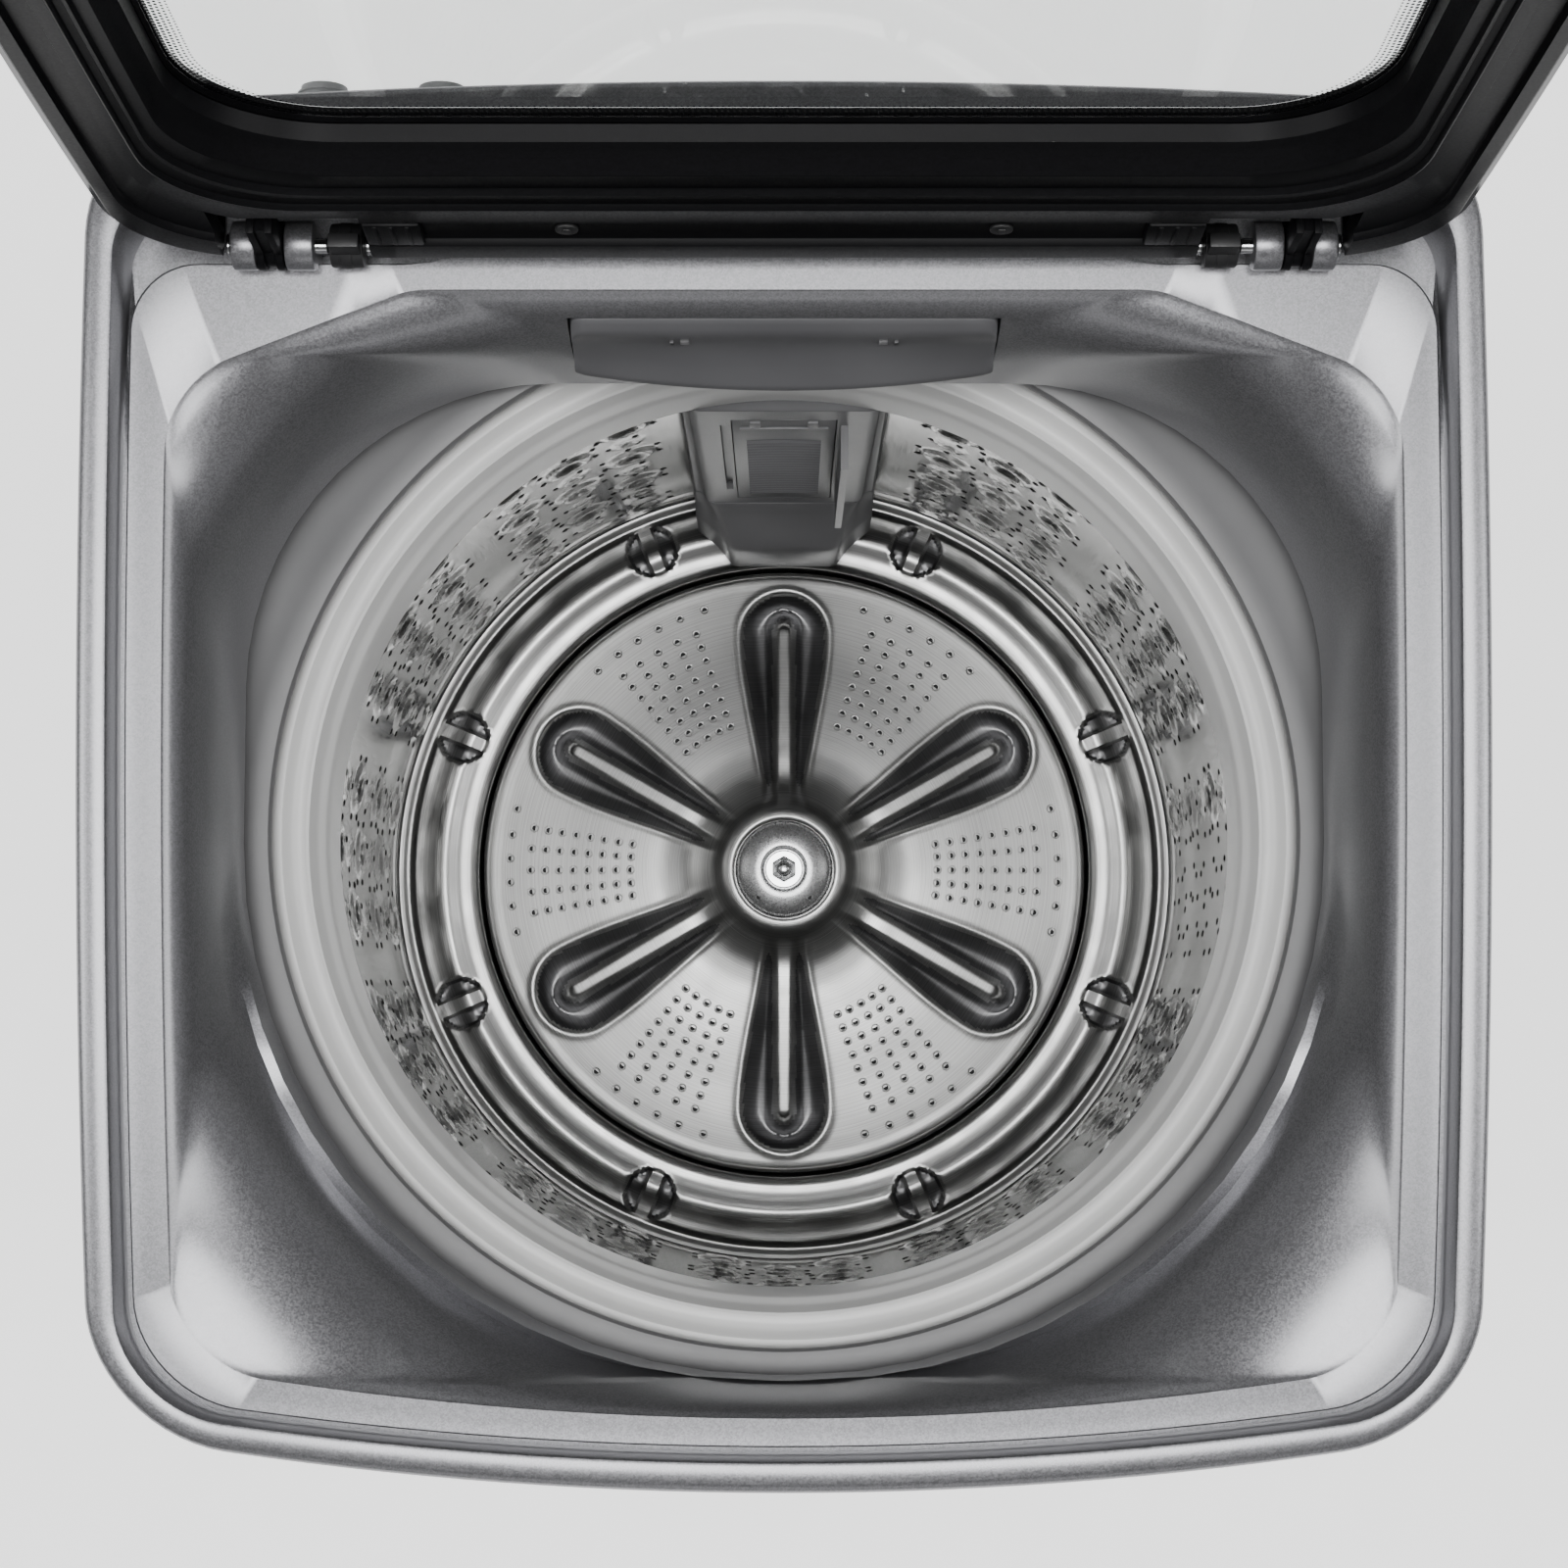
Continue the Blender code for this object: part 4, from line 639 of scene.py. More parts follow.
def make_top_cover():
    opening, opening_out = opening_outline(0), opening_outline(COVER_WALL)
    bowl, bowl_out = bowl_outline(0), bowl_outline(COVER_WALL)
    ledge, under, groove = LEDGE_DEPTH, 0.0035, GROOVE_WIDTH
    inner = [(0.012, 0.0004), (0.05, 0.0012), (0.12, 0.0022), (0.22, 0.0040), (0.35, 0.0078),
             (0.48, 0.0135), (0.60, 0.021), (0.72, 0.033), (0.82, 0.048), (0.90, 0.065)]
    outer = [(0.90, 0.067), (0.72, 0.036), (0.60, 0.024), (0.35, 0.0115)]
    rows = [
        flat(cover_outline(0.0008), SKIRT_BOTTOM), flat(cover_outline(0), SKIRT_BOTTOM + 0.001),
        flat(cover_outline(0), 0.945), sloped(cover_outline(0), 0.012),
        sloped(cover_outline(0.0002), 0.006), sloped(cover_outline(0.0012), 0.0026),
        sloped(cover_outline(0.0030), 0.0008), sloped(cover_outline(0.0055), 0.0),
        sloped(well_outline(-0.0022, -0.0022), 0.0), sloped(well_outline(-0.0008, -0.0008), 0.0006),
        sloped(well_outline(0, 0), 0.0022), sloped(well_outline(0, 0), trough_depth),
        sloped(stepped(well_outline(groove, TROUGH_WIDTH)), trough_depth),
        sloped(stepped(well_outline(groove + 0.0002, TROUGH_WIDTH + 0.0003)), ledge + 0.0008),
        sloped(stepped(well_outline(groove + 0.0010, TROUGH_WIDTH + 0.0010)), ledge),
        sloped(opening, ledge)]
    rows += [sloped(blend(opening, bowl, share), ledge + drop) for share, drop in inner]
    rows += [flat(blend(opening, bowl, 0.965), 0.900), flat(bowl, BOWL_BOTTOM + 0.001),
             flat(bowl_outline(0.0008), BOWL_BOTTOM), flat(bowl_out, BOWL_BOTTOM)]
    rows += [sloped(blend(opening_out, bowl_out, share), ledge + drop) for share, drop in outer]
    rows += [
        sloped(opening_out, ledge + COVER_WALL),
        sloped(well_outline(groove + 0.004, TROUGH_WIDTH + 0.003),
               lambda y: trough_depth(y) + COVER_WALL),
        sloped(well_outline(-COVER_WALL, -COVER_WALL), lambda y: trough_depth(y) + COVER_WALL),
        sloped(well_outline(-COVER_WALL, -COVER_WALL), under),
        sloped(cover_outline(COVER_WALL), under), flat(cover_outline(COVER_WALL), SKIRT_BOTTOM)]
    bm = skin(rows)
    bmesh.ops.triangulate(bm, faces=bm.faces)
    cover = to_piece("top_cover_shell", bm, FINISHES["cover_paint"], "casing", ["top_cover"])
    hole = bmesh.new()
    add_block(hole, (-DRAWER_HALF_WIDTH - 0.001, 0.180, DRAWER_BOTTOM - 0.003),
              (DRAWER_HALF_WIDTH + 0.001, HINGE_Y - 0.004, DRAWER_TOP + 0.001))
    cut(cover, hole)
    for x in VALVE_PLACES.values():
        hole = bmesh.new()
        add_rod(hole, (x, HALF_D - 0.035, VALVE_HEIGHT), (x, HALF_D + 0.02, VALVE_HEIGHT),
                VALVE_RADIUS + 0.001)
        cut(cover, hole)
    cover.data.shade_smooth()
    cover.data.set_sharp_from_angle(angle=math.radians(35))
    make_cover_knuckles()


def make_cover_knuckles():
    """Hinge knuckles moulded with the cover, each on a web that stands in the trough."""
    bm = bmesh.new()
    axis = rim_height(HINGE_Y, HINGE_DEPTH)
    floor = rim_height(HINGE_Y, TROUGH_DEPTH + 0.0005)
    for side in (-1, 1):
        for near, far in ((0.2100, 0.2230), (0.2360, 0.2470)):
            low, high = sorted((side * near, side * far))
            add_rod(bm, (low, HINGE_Y, axis), (high, HINGE_Y, axis), KNUCKLE_RADIUS,
                    bevel=0.0012)
            add_block(bm, (low + 0.0006, HINGE_Y - 0.0085, floor),
                      (high - 0.0006, HINGE_Y + 0.0085, axis), bevel=0.0008)
    to_piece("hinge_knuckles", bm, FINISHES["cover_paint"], "casing")


# ---------------------------------------------------------------- cabinet
def make_cabinet():
    outer, inner = shell_outline(0.0), shell_outline(0.001)
    top = SKIRT_BOTTOM - 0.0003
    hem = shell_outline(0.0045)
    bm = skin([
        flat(outer, SHELL_BOTTOM + 0.0012), flat(outer, 0.10), flat(outer, 0.30),
        flat(outer, 0.60), flat(outer, 0.85), flat(outer, top), flat(inner, top),
        flat(inner, SHELL_BOTTOM + 0.0022), flat(hem, SHELL_BOTTOM + 0.0022),
        flat(hem, SHELL_BOTTOM + 0.0012), flat(shell_outline(0.0008), SHELL_BOTTOM)])
    bmesh.ops.triangulate(bm, faces=bm.faces)
    wrapper = to_piece("cabinet_wrapper_sheet", bm, FINISHES["cabinet_paint"], "casing",
                       ["cabinet_wrapper"])
    hole = bmesh.new()
    add_block(hole, (-SERVICE_HALF_WIDTH, CABINET_REAR - 0.010, SERVICE_BOTTOM),
              (SERVICE_HALF_WIDTH, CABINET_REAR + 0.010, SERVICE_TOP))
    cut(wrapper, hole)
    wrapper.data.shade_smooth()
    wrapper.data.set_sharp_from_angle(angle=math.radians(35))
    make_top_bracket()
    make_rear_panel()


def make_top_bracket():
    """Pressed frame under the cover that the suspension rods hang from."""
    inner = shell_outline(0.0012)
    turn = 2 * math.pi / len(inner)
    mouth = [((0.297) * math.sin(i * turn), DRUM_Y - 0.297 * math.cos(i * turn))
             for i in range(len(inner))]
    lip = [(x * 0.992, DRUM_Y + (y - DRUM_Y) * 0.992) for x, y in mouth]
    bm = skin([flat(inner, 0.888), flat(mouth, 0.888), flat(lip, 0.887), flat(lip, 0.880),
               flat(mouth, 0.880), flat(blend(mouth, inner, 0.1), 0.885), flat(inner, 0.885)])
    to_piece("suspension_bracket", bm, FINISHES["zinc_steel"], "casing")


def make_rear_panel():
    """Galvanised service panel with two pressed fields, louvres and hex screws."""
    bm = bmesh.new()
    rear = CABINET_REAR + 0.0003
    half, low, high = SERVICE_HALF_WIDTH + 0.020, SERVICE_BOTTOM - 0.020, SERVICE_TOP + 0.020
    add_block(bm, (-half, rear, low), (half, rear + 0.001, high), bevel=0.0003)
    middle = (SERVICE_BOTTOM + SERVICE_TOP) / 2
    for bottom, top in ((SERVICE_BOTTOM + 0.06, middle - 0.03), (middle + 0.03, SERVICE_TOP - 0.06)):
        add_block(bm, (-0.200, rear + 0.0004, bottom), (0.200, rear + 0.0045, top), bevel=0.0035,
                  segments=4)
        for i in range(7):
            height = bottom + 0.05 + i * 0.014
            add_block(bm, (-0.055, rear + 0.004, height), (0.055, rear + 0.0056, height + 0.006),
                      bevel=0.0014, segments=3)
    panel = to_piece("rear_service_panel", bm, FINISHES["zinc_steel"], "casing", ["rear_panel"])
    screws = bmesh.new()
    for x in (-half + 0.010, 0.0, half - 0.010):
        for z in (low + 0.010, middle, high - 0.010):
            add_rod(screws, (x, rear + 0.001, z), (x, rear + 0.0022, z), 0.0065, 24, 0.0004)
            add_rod(screws, (x, rear + 0.0022, z), (x, rear + 0.0058, z), 0.0042, 6, 0.0005)
    to_piece("rear_panel_screws", screws, FINISHES["bright_steel"], "casing")
    return panel


# ---------------------------------------------------------------- detergent drawer
def drawer_section(x):
    """Side view of the drawer's front at x: a concave face between a top bead and a lip."""
    share = x / DRAWER_HALF_WIDTH
    bow = 0.008 * share ** 2
    corner = 0.0070 * (1 - math.sqrt(max(0.0, 1 - max(0.0, (abs(x) - 0.0915) / 0.007) ** 2)))
    top = DRAWER_TOP - corner
    low_corner = 0.006 * (1 - math.sqrt(max(0.0, 1 - max(0.0, (abs(x) - 0.0925) / 0.006) ** 2)))
    low = DRAWER_BOTTOM + low_corner
    face = curve_through([(0.2138, top - 0.0012), (0.2098, top - 0.008),
                          (0.2072 + bow * 0.2, DRAWER_TOP - 0.020),
                          (0.2010 + bow * 0.6, DRAWER_BOTTOM + 0.017),
                          (0.1928 + bow, low + 0.0052)], 6)
    return ([(x, 0.2150, top)] + [(x, y, z) for y, z in face]
            + [(x, 0.1920 + bow, low + 0.0028), (x, 0.1934 + bow, low + 0.0006),
               (x, 0.1958 + bow, low), (x, DRAWER_REAR, low), (x, DRAWER_REAR, top)])


def make_drawer():
    stations = [DRAWER_HALF_WIDTH * math.sin(math.pi * i / 56) for i in range(-28, 29)]
    bm = skin([drawer_section(x) for x in stations], closed=False)
    soften(bm, 0.0006, 2, 50)
    to_piece("drawer_front_panel", bm, FINISHES["drawer_grey"], "drawer", ["drawer_front"])
    marks = bmesh.new()
    for side in (-1, 1):
        x = side * 0.049
        place = (0.2079, DRAWER_TOP - 0.0130)
        for dx, dz, wide, tall in ((-0.003, 0.0, 0.0042, 0.0008), (-0.003, -0.0022, 0.0042, 0.0008),
                                   (-0.003, -0.0044, 0.0042, 0.0008), (0.003, -0.0030, 0.0018, 0.0044)):
            add_block(marks, (x + dx * side - wide / 2, place[0] - 0.0006, place[1] + dz - tall / 2),
                      (x + dx * side + wide / 2, place[0] + 0.0010, place[1] + dz + tall / 2),
                      bevel=0.0001)
    to_piece("drawer_pictograms", marks, PICTOGRAM_GREY, "drawer")


# ---------------------------------------------------------------- tub and drum
def make_tub_cover():
    bottom = 0.8558
    mouth = DRUM_RADIUS
    profile = [(mouth + 0.0006, bottom + 0.0040), (mouth, bottom + 0.0055),
               (mouth, bottom + 0.0085), (mouth + 0.0012, bottom + 0.0110),
               (mouth + 0.006, bottom + 0.012), (mouth + 0.012, bottom + 0.0112),
               (mouth + 0.020, bottom + 0.0106), (0.2910, bottom + 0.010),
               (0.2920, bottom + 0.009), (0.2920, bottom), (0.279, bottom),
               (0.277, bottom + 0.004)]
    # the ring is drawn darker than the tub's plastic, as painted shade under the bowl's edge
    to_piece("tub_cover_ring", spun(profile, ROUND_STEPS), TUB_RING_PAINTED_SHADE, "tub", ["tub_cover"])


def make_balance_ring():
    """Balance ring with its two beads and the deep inner wall."""
    top, low = BALANCE_TOP, BALANCE_BOTTOM
    profile = [(0.2300, low + 0.0006), (0.2306, low), (0.2500, low), (0.2505, low + 0.0083),
               (0.2570, low + 0.0083), (0.2570, top - 0.006), (0.2562, top - 0.0022),
               (0.2542, top - 0.0004), (0.2520, top), (0.2495, top - 0.0004),
               (0.2478, top - 0.0022), (0.2462, top - 0.0056), (0.2440, top - 0.0072),
               (0.2412, top - 0.0078), (0.2386, top - 0.0074), (0.2372, top - 0.0082),
               (0.2362, top - 0.0112), (0.2350, top - 0.0165), (0.2335, top - 0.0205),
               (0.2318, top - 0.0225), (0.2308, top - 0.0255), (0.2303, top - 0.0350),
               (0.2300, top - 0.0480)]
    to_piece("balance_ring_moulding", spun(profile, ROUND_STEPS), FINISHES["balance_plastic"],
             "drum", ["balance_ring"])


PANELS = 12                 # plain upright bands divide the drum wall into this many panels
ROSETTE_PITCH = 0.040       # between rosettes up the wall
BIG_ROSETTE = 0.0150
SMALL_ROSETTE = 0.0085


def rosettes():
    """Places of the embossed rosettes on the wall as (angle, height, radius)."""
    places = []
    panel = 2 * math.pi / PANELS
    columns = (-0.30, -0.02, 0.26)
    rows = int((BALANCE_BOTTOM - BASE_TOP - 0.05) / ROSETTE_PITCH)
    for p in range(PANELS):
        for c, share in enumerate(columns):
            for r in range(rows):
                big = (c + r) % 2 == 0
                height = BASE_TOP + 0.040 + ROSETTE_PITCH * (r + 0.25 * (c % 2))
                places.append((panel * (p + share), height,
                               BIG_ROSETTE if big else SMALL_ROSETTE))
    return places


def emboss(distance, radius):
    """Relief of a rosette, inwards from the wall: a dish with a raised rim and a navel."""
    share = distance / radius
    if share >= 1.25:
        return 0.0
    rim = math.exp(-((share - 0.80) / 0.20) ** 2)
    dish = 1 - step(0.0, 0.62, share)
    return (0.0024 * rim - 0.0022 * dish) * (radius / BIG_ROSETTE) * (1 - step(1.0, 1.25, share))


def make_drum_shell():
    """Drum wall pressed with rows of rosettes, between plain bands."""
    turns, rows = 600, 132
    low, high = BASE_TOP + 0.0004, BALANCE_BOTTOM + 0.008
    inner = [(DRUM_RADIUS, low + (high - low) * i / rows) for i in range(rows + 1)]
    outer = [(DRUM_RADIUS + 0.0036, high), (DRUM_RADIUS + 0.0036, low)]
    bm = spun(inner + outer, turns, centre=(0, 0, 0))
    cells = {}
    size = 0.020
    for angle, height, radius in rosettes():
        spot = (angle * DRUM_RADIUS, height, radius)
        cells.setdefault((int(spot[0] // size), int(spot[1] // size)), []).append(spot)
    around = int(2 * math.pi * DRUM_RADIUS // size) + 1
    for vert in bm.verts:
        radius = math.hypot(vert.co.x, vert.co.y)
        if radius > DRUM_RADIUS + 0.001:
            continue
        along = (math.atan2(vert.co.y, vert.co.x) % (2 * math.pi)) * DRUM_RADIUS
        rise = 0.0
        i, j = int(along // size), int(vert.co.z // size)
        for di in (-1, 0, 1):
            for dj in (-1, 0, 1):
                for spot in cells.get(((i + di) % around, j + dj), ()):
                    gap = abs(along - spot[0] % (2 * math.pi * DRUM_RADIUS))
                    gap = min(gap, 2 * math.pi * DRUM_RADIUS - gap)
                    rise += emboss(math.hypot(gap, vert.co.z - spot[1]), spot[2])
        bead = 0.0016 * math.exp(-((vert.co.z - BASE_TOP - 0.012) / 0.003) ** 2)
        bead += 0.0012 * math.exp(-((vert.co.z - BASE_TOP - 0.022) / 0.003) ** 2)
        share = (DRUM_RADIUS - rise - bead) / radius
        vert.co.x *= share
        vert.co.y *= share
    bmesh.ops.translate(bm, verts=bm.verts, vec=(0, DRUM_Y, 0))
    to_piece("drum_wall", bm, FINISHES["drum_steel"], "drum", ["drum_shell"],
             smooth=60)


def punched_hole(bm, centre, across, up, outward, radius, sides=8):
    """Small punched hole: a raised burr ring round a dark floor that is painted shade inside the hole."""
    rings = ((1.45, -0.0001), (1.20, 0.00032), (0.95, 0.00022), (0.80, 0.00004))
    rows = []
    for share, height in rings:
        rows.append([bm.verts.new(centre + outward * height
                                  + (across * math.cos(2 * math.pi * k / sides)
                                     + up * math.sin(2 * math.pi * k / sides)) * radius * share)
                     for k in range(sides)])
    for low, high in zip(rows, rows[1:]):
        for k in range(sides):
            bm.faces.new((low[k], low[(k + 1) % sides], high[(k + 1) % sides], high[k]))
    # the floor takes the second finish: painted shade inside the hole
    floor = bm.faces.new(rows[-1])
    floor.material_index = 1
    back = bm.faces.new(rows[0][::-1])
    back.material_index = 0


def make_drum_holes():
    bm = bmesh.new()
    up = Vector((0, 0, 1))
    for angle, height, radius in rosettes():
        count = 6 if radius == BIG_ROSETTE else 3
        for k in range(count + 1):
            turn = 2 * math.pi * k / count + (0.5 if radius == BIG_ROSETTE else 0.0)
            reach = 0.0 if k == count else radius * 1.32
            theta = angle + math.cos(turn) * reach / DRUM_RADIUS
            z = height + math.sin(turn) * reach
            outward = Vector((-math.cos(theta), -math.sin(theta), 0))
            depth = DRUM_RADIUS - 0.0001 + (0.0016 * radius / BIG_ROSETTE if k == count else 0.0)
            centre = Vector((math.cos(theta) * depth, DRUM_Y + math.sin(theta) * depth, z))
            across = outward.cross(up)
            punched_hole(bm, centre, across, up, outward,
                         0.0024 if k == count and count == 6 else 0.0017)
    holes = to_piece("drum_perforations", bm, FINISHES["drum_steel"], "drum")
    holes.data.materials.append(HOLE_PAINTED_SHADE)


def paint_hollow_shade(obj, inside):
    """The upward faces in the pressed hollows get a darker, duller steel: the darkness is painted shade in the
    recesses.
    """
    obj.data.materials.append(HOLLOW_PAINTED_SHADE_STEEL)
    for face in obj.data.polygons:
        centre = face.center
        if face.normal.z > 0.0 and inside(centre.x, centre.y - SHIFT - DRUM_Y) > 0.5:
            face.material_index = 1


POCKETS = 8
POCKET_RADIUS = 0.0172
POCKET_REACH = 0.2275


def pocket_place(x, y):
    """Inside a pocket (0 to 1) and on its bar (0 to 1)."""
    radius = math.hypot(x, y)
    angle = math.atan2(x, y) - math.pi / POCKETS
    nearest = round(angle / (2 * math.pi / POCKETS)) * 2 * math.pi / POCKETS
    turn = angle - nearest
    across = radius * math.sin(turn)
    distance = math.hypot(radius * math.cos(turn) - POCKET_REACH, across)
    return 1 - step(POCKET_RADIUS - 0.0026, POCKET_RADIUS, distance), \
        1 - step(0.0042, 0.0064, abs(across))


# Mask of painted shade: inside a pocket and off its bar
def pocket_hollow_shade_mask(x, y):
    inside, bar = pocket_place(x, y)
    return inside * (1 - bar)


def base_height(x, y):
    """Top of the base ring: a broad roll, with pockets that each hold a bar."""
    radius = math.hypot(x, y)
    roll = 0.0042 * math.exp(-((radius - 0.2225) / 0.0085) ** 2)
    groove = -0.0028 * math.exp(-((radius - 0.2455) / 0.0030) ** 2)
    lip = 0.0012 * math.exp(-((radius - 0.2015) / 0.0012) ** 2)
    height = BASE_TOP - 0.0006 + roll + groove + lip
    inside, bar = pocket_place(x, y)
    return height - inside * (0.0070 - 0.0052 * bar)


def make_drum_base():
    low, high = 0.1997, 0.2514
    turns, rows = 720, 36
    top = [(low + (high - low) * i / rows, 0.41) for i in range(rows + 1)]
    profile = ([(0.030, DRUM_FLOOR), (0.1972, DRUM_FLOOR), (0.1992, DRUM_FLOOR + 0.003),
                (0.1995, BASE_TOP - 0.002)] + top
               + [(high, BASE_TOP - 0.011), (0.205, BASE_TOP - 0.011), (0.2016, DRUM_FLOOR),
                  (0.1990, DRUM_FLOOR - 0.0025), (0.030, DRUM_FLOOR - 0.0025)])
    bm = spun(profile, turns, centre=(0, 0, 0))
    for vert in bm.verts:
        if vert.co.z > 0.4099:
            vert.co.z = base_height(vert.co.x, vert.co.y)
    bmesh.ops.translate(bm, verts=bm.verts, vec=(0, DRUM_Y, 0))
    base = to_piece("drum_base_pressing", bm, FINISHES["plate_steel"], "drum", ["drum_base"],
                    smooth=50)
    paint_hollow_shade(base, pocket_hollow_shade_mask)


# ---------------------------------------------------------------- wash plate
RIBS = 6
RIB_HALF_WIDTH = 0.0098


def plate_curve(radius):
    """Height of the plain wash plate at a radius."""
    places = (0.0350, 0.0390, 0.0470, 0.060, 0.075, 0.090, 0.120, 0.150, 0.185, 0.193, 0.1972)
    heights = (0.4246, 0.4236, 0.4185, 0.4128, 0.4098, 0.4082, 0.4052, 0.4022, 0.3995, 0.3990,
               0.3972)
    slopes = [(heights[min(i + 1, len(places) - 1)] - heights[max(i - 1, 0)])
              / (places[min(i + 1, len(places) - 1)] - places[max(i - 1, 0)])
              for i in range(len(places))]
    for i, (a, b) in enumerate(zip(places, places[1:])):
        if radius <= b:
            share = max(0.0, (radius - a) / (b - a))
            rise = step(0.0, 1.0, share)
            bend = share * (1 - share)
            return (heights[i] + (heights[i + 1] - heights[i]) * rise
                    + (b - a) * bend * (slopes[i] * (1 - share) - slopes[i + 1] * share))
    return heights[-1]


def recess_half_width(along):
    """Half-width of the teardrop hollow round a rib at a distance from the axis."""
    if along > 0.155:
        return math.sqrt(max(0.0, 0.030 ** 2 - (along - 0.155) ** 2))
    return 0.0135 + 0.0165 * step(0.030, 0.158, along)


def rib_place(x, y):
    """Where a point lies on its rib: along it, off it, and inside the hollow's edge."""
    radius = math.hypot(x, y)
    angle = math.atan2(x, y)
    nearest = round(angle / (2 * math.pi / RIBS)) * 2 * math.pi / RIBS
    along = radius * math.cos(angle - nearest)
    across = abs(radius * math.sin(angle - nearest))
    if along > 0.155:
        margin = 0.030 - math.hypot(along - 0.155, across)
    else:
        margin = recess_half_width(along) - across
    return along, across, margin


def rib_bar(along, across):
    end = 1 - step(0.158, 0.176, along + 0.35 * across)
    return (1 - step(RIB_HALF_WIDTH - 0.0066, RIB_HALF_WIDTH + 0.0026, across)) * end


def plate_hollow_shade_mask(x, y):
    """Mask of painted shade: 1 down in a rib's hollow, 0 on the plate and on the rib."""
    along, across, margin = rib_place(x, y)
    deep = step(0.0005, 0.0060, margin) * step(0.044, 0.062, along)
    return deep * (1 - rib_bar(along, across))


def plate_height(x, y):
    height = plate_curve(math.hypot(x, y))
    along, across, margin = rib_place(x, y)
    inner = step(0.036, 0.070, along)
    hollow = step(0.0, 0.0130, margin) * inner * 0.0135
    hollow *= 0.72 + 0.28 * step(0.08, 0.16, along)
    bar = rib_bar(along, across)
    crown = 0.0030 * step(0.045, 0.080, along) * bar
    lip = 0.0009 * math.exp(-(margin / 0.0022) ** 2) * inner
    return height - hollow * (1 - bar) + crown + lip


def make_wash_plate():
    turns, rows = 600, 96
    low = 0.0350
    top = [(low + (PLATE_EDGE - 0.0008 - low) * i / rows, 0.41) for i in range(rows + 1)]
    profile = ([(0.0325, 0.4050), (0.0325, 0.4236), (0.0330, 0.4244), (0.0338, 0.4247)] + top
               + [(PLATE_EDGE, 0.3968), (PLATE_EDGE, 0.3890), (PLATE_EDGE - 0.003, 0.3890),
                  (0.190, 0.3830), (0.150, 0.3825), (0.090, 0.3890), (0.060, 0.3960),
                  (0.040, 0.3985), (0.0320, 0.3985)])
    bm = spun(profile, turns, centre=(0, 0, 0))
    for vert in bm.verts:
        if abs(vert.co.z - 0.41) < 1e-6:
            vert.co.z = plate_height(vert.co.x, vert.co.y)
    bmesh.ops.translate(bm, verts=bm.verts, vec=(0, DRUM_Y, 0))
    hub = [(0.0093, 0.3800), (0.025, 0.3800), (0.028, 0.3985), (0.0326, 0.3985),
           (0.0326, 0.4049), (0.0093, 0.4049)]
    spun(hub, SMALL_ROUND_STEPS, bm=bm)
    plate = to_piece("wash_plate_pressing", bm, FINISHES["plate_steel"], "agitator",
                     ["wash_plate"], smooth=50)
    paint_hollow_shade(plate, plate_hollow_shade_mask)


def make_plate_holes():
    """Six fields of punched holes between the ribs: eight short arcs and one wide one."""
    bm = bmesh.new()
    spots = [(0.1000 + 0.0094 * row, math.radians(turn))
             for row in range(8) for turn in (-9.6, -4.9, 0.0, 4.9, 9.6)]
    spots += [(0.1795, math.radians(turn)) for turn in (-13.0, -7.5, -2.5, 2.5, 7.5, 13.0)]
    for field in range(RIBS):
        middle = 2 * math.pi * (field + 0.5) / RIBS
        for radius, turn in spots:
            x, y = radius * math.sin(middle + turn), radius * math.cos(middle + turn)
            centre = Vector((x, DRUM_Y + y, plate_height(x, y)))
            punched_hole(bm, centre, Vector((1, 0, 0)), Vector((0, 1, 0)), Vector((0, 0, 1)),
                         0.0021, 12)
    holes = to_piece("wash_plate_holes", bm, FINISHES["plate_steel"], "agitator")
    holes.data.materials.append(HOLE_PAINTED_SHADE)


def make_hub():
    cap = [(0.0062, 0.4053), (0.0315, 0.4053), (0.0315, 0.4205), (0.0311, 0.4222),
           (0.0300, 0.4238), (0.0275, 0.4254), (0.0235, 0.4270), (0.0195, 0.4280),
           (0.0165, 0.4285), (0.0150, 0.4283), (0.0142, 0.4275), (0.0140, 0.4262),
           (0.0138, 0.4165), (0.0130, 0.4156), (0.0062, 0.4155)]
    bm = spun(cap, 96)
    to_piece("hub_cap", bm, FINISHES["hub_grey"], "agitator", ["wash_plate_cap"])
    bolt = bmesh.new()
    washer = [(0.0, 0.4157), (0.0118, 0.4157), (0.0122, 0.4162), (0.0122, 0.4172),
              (0.0116, 0.4177), (0.0, 0.4177)]
    spun(washer, 48, bm=bolt)
    add_rod(bolt, (0, DRUM_Y, 0.4176), (0, DRUM_Y, 0.4226), 0.0085, 6, 0.0008)
    dome = [(0.0, 0.4226), (0.0050, 0.4226), (0.0048, 0.4240), (0.0036, 0.4252),
            (0.0018, 0.4258), (0.0, 0.4259)]
    spun(dome, 32, bm=bolt)
    to_piece("hub_bolt", bolt, FINISHES["bright_steel"], "agitator", ["wash_plate_bolt"])
    holes = bmesh.new()
    for side in (-1, 1):
        centre = Vector((side * 0.0165, DRUM_Y - 0.0187, 0.4266))
        punched_hole(holes, centre, Vector((1, 0, 0)), Vector((0, 1, 0)), Vector((0, 0, 1)),
                     0.0016, 14)
    made = to_piece("hub_cap_holes", holes, FINISHES["hub_grey"], "agitator")
    made.data.materials.append(HOLE_PAINTED_SHADE)


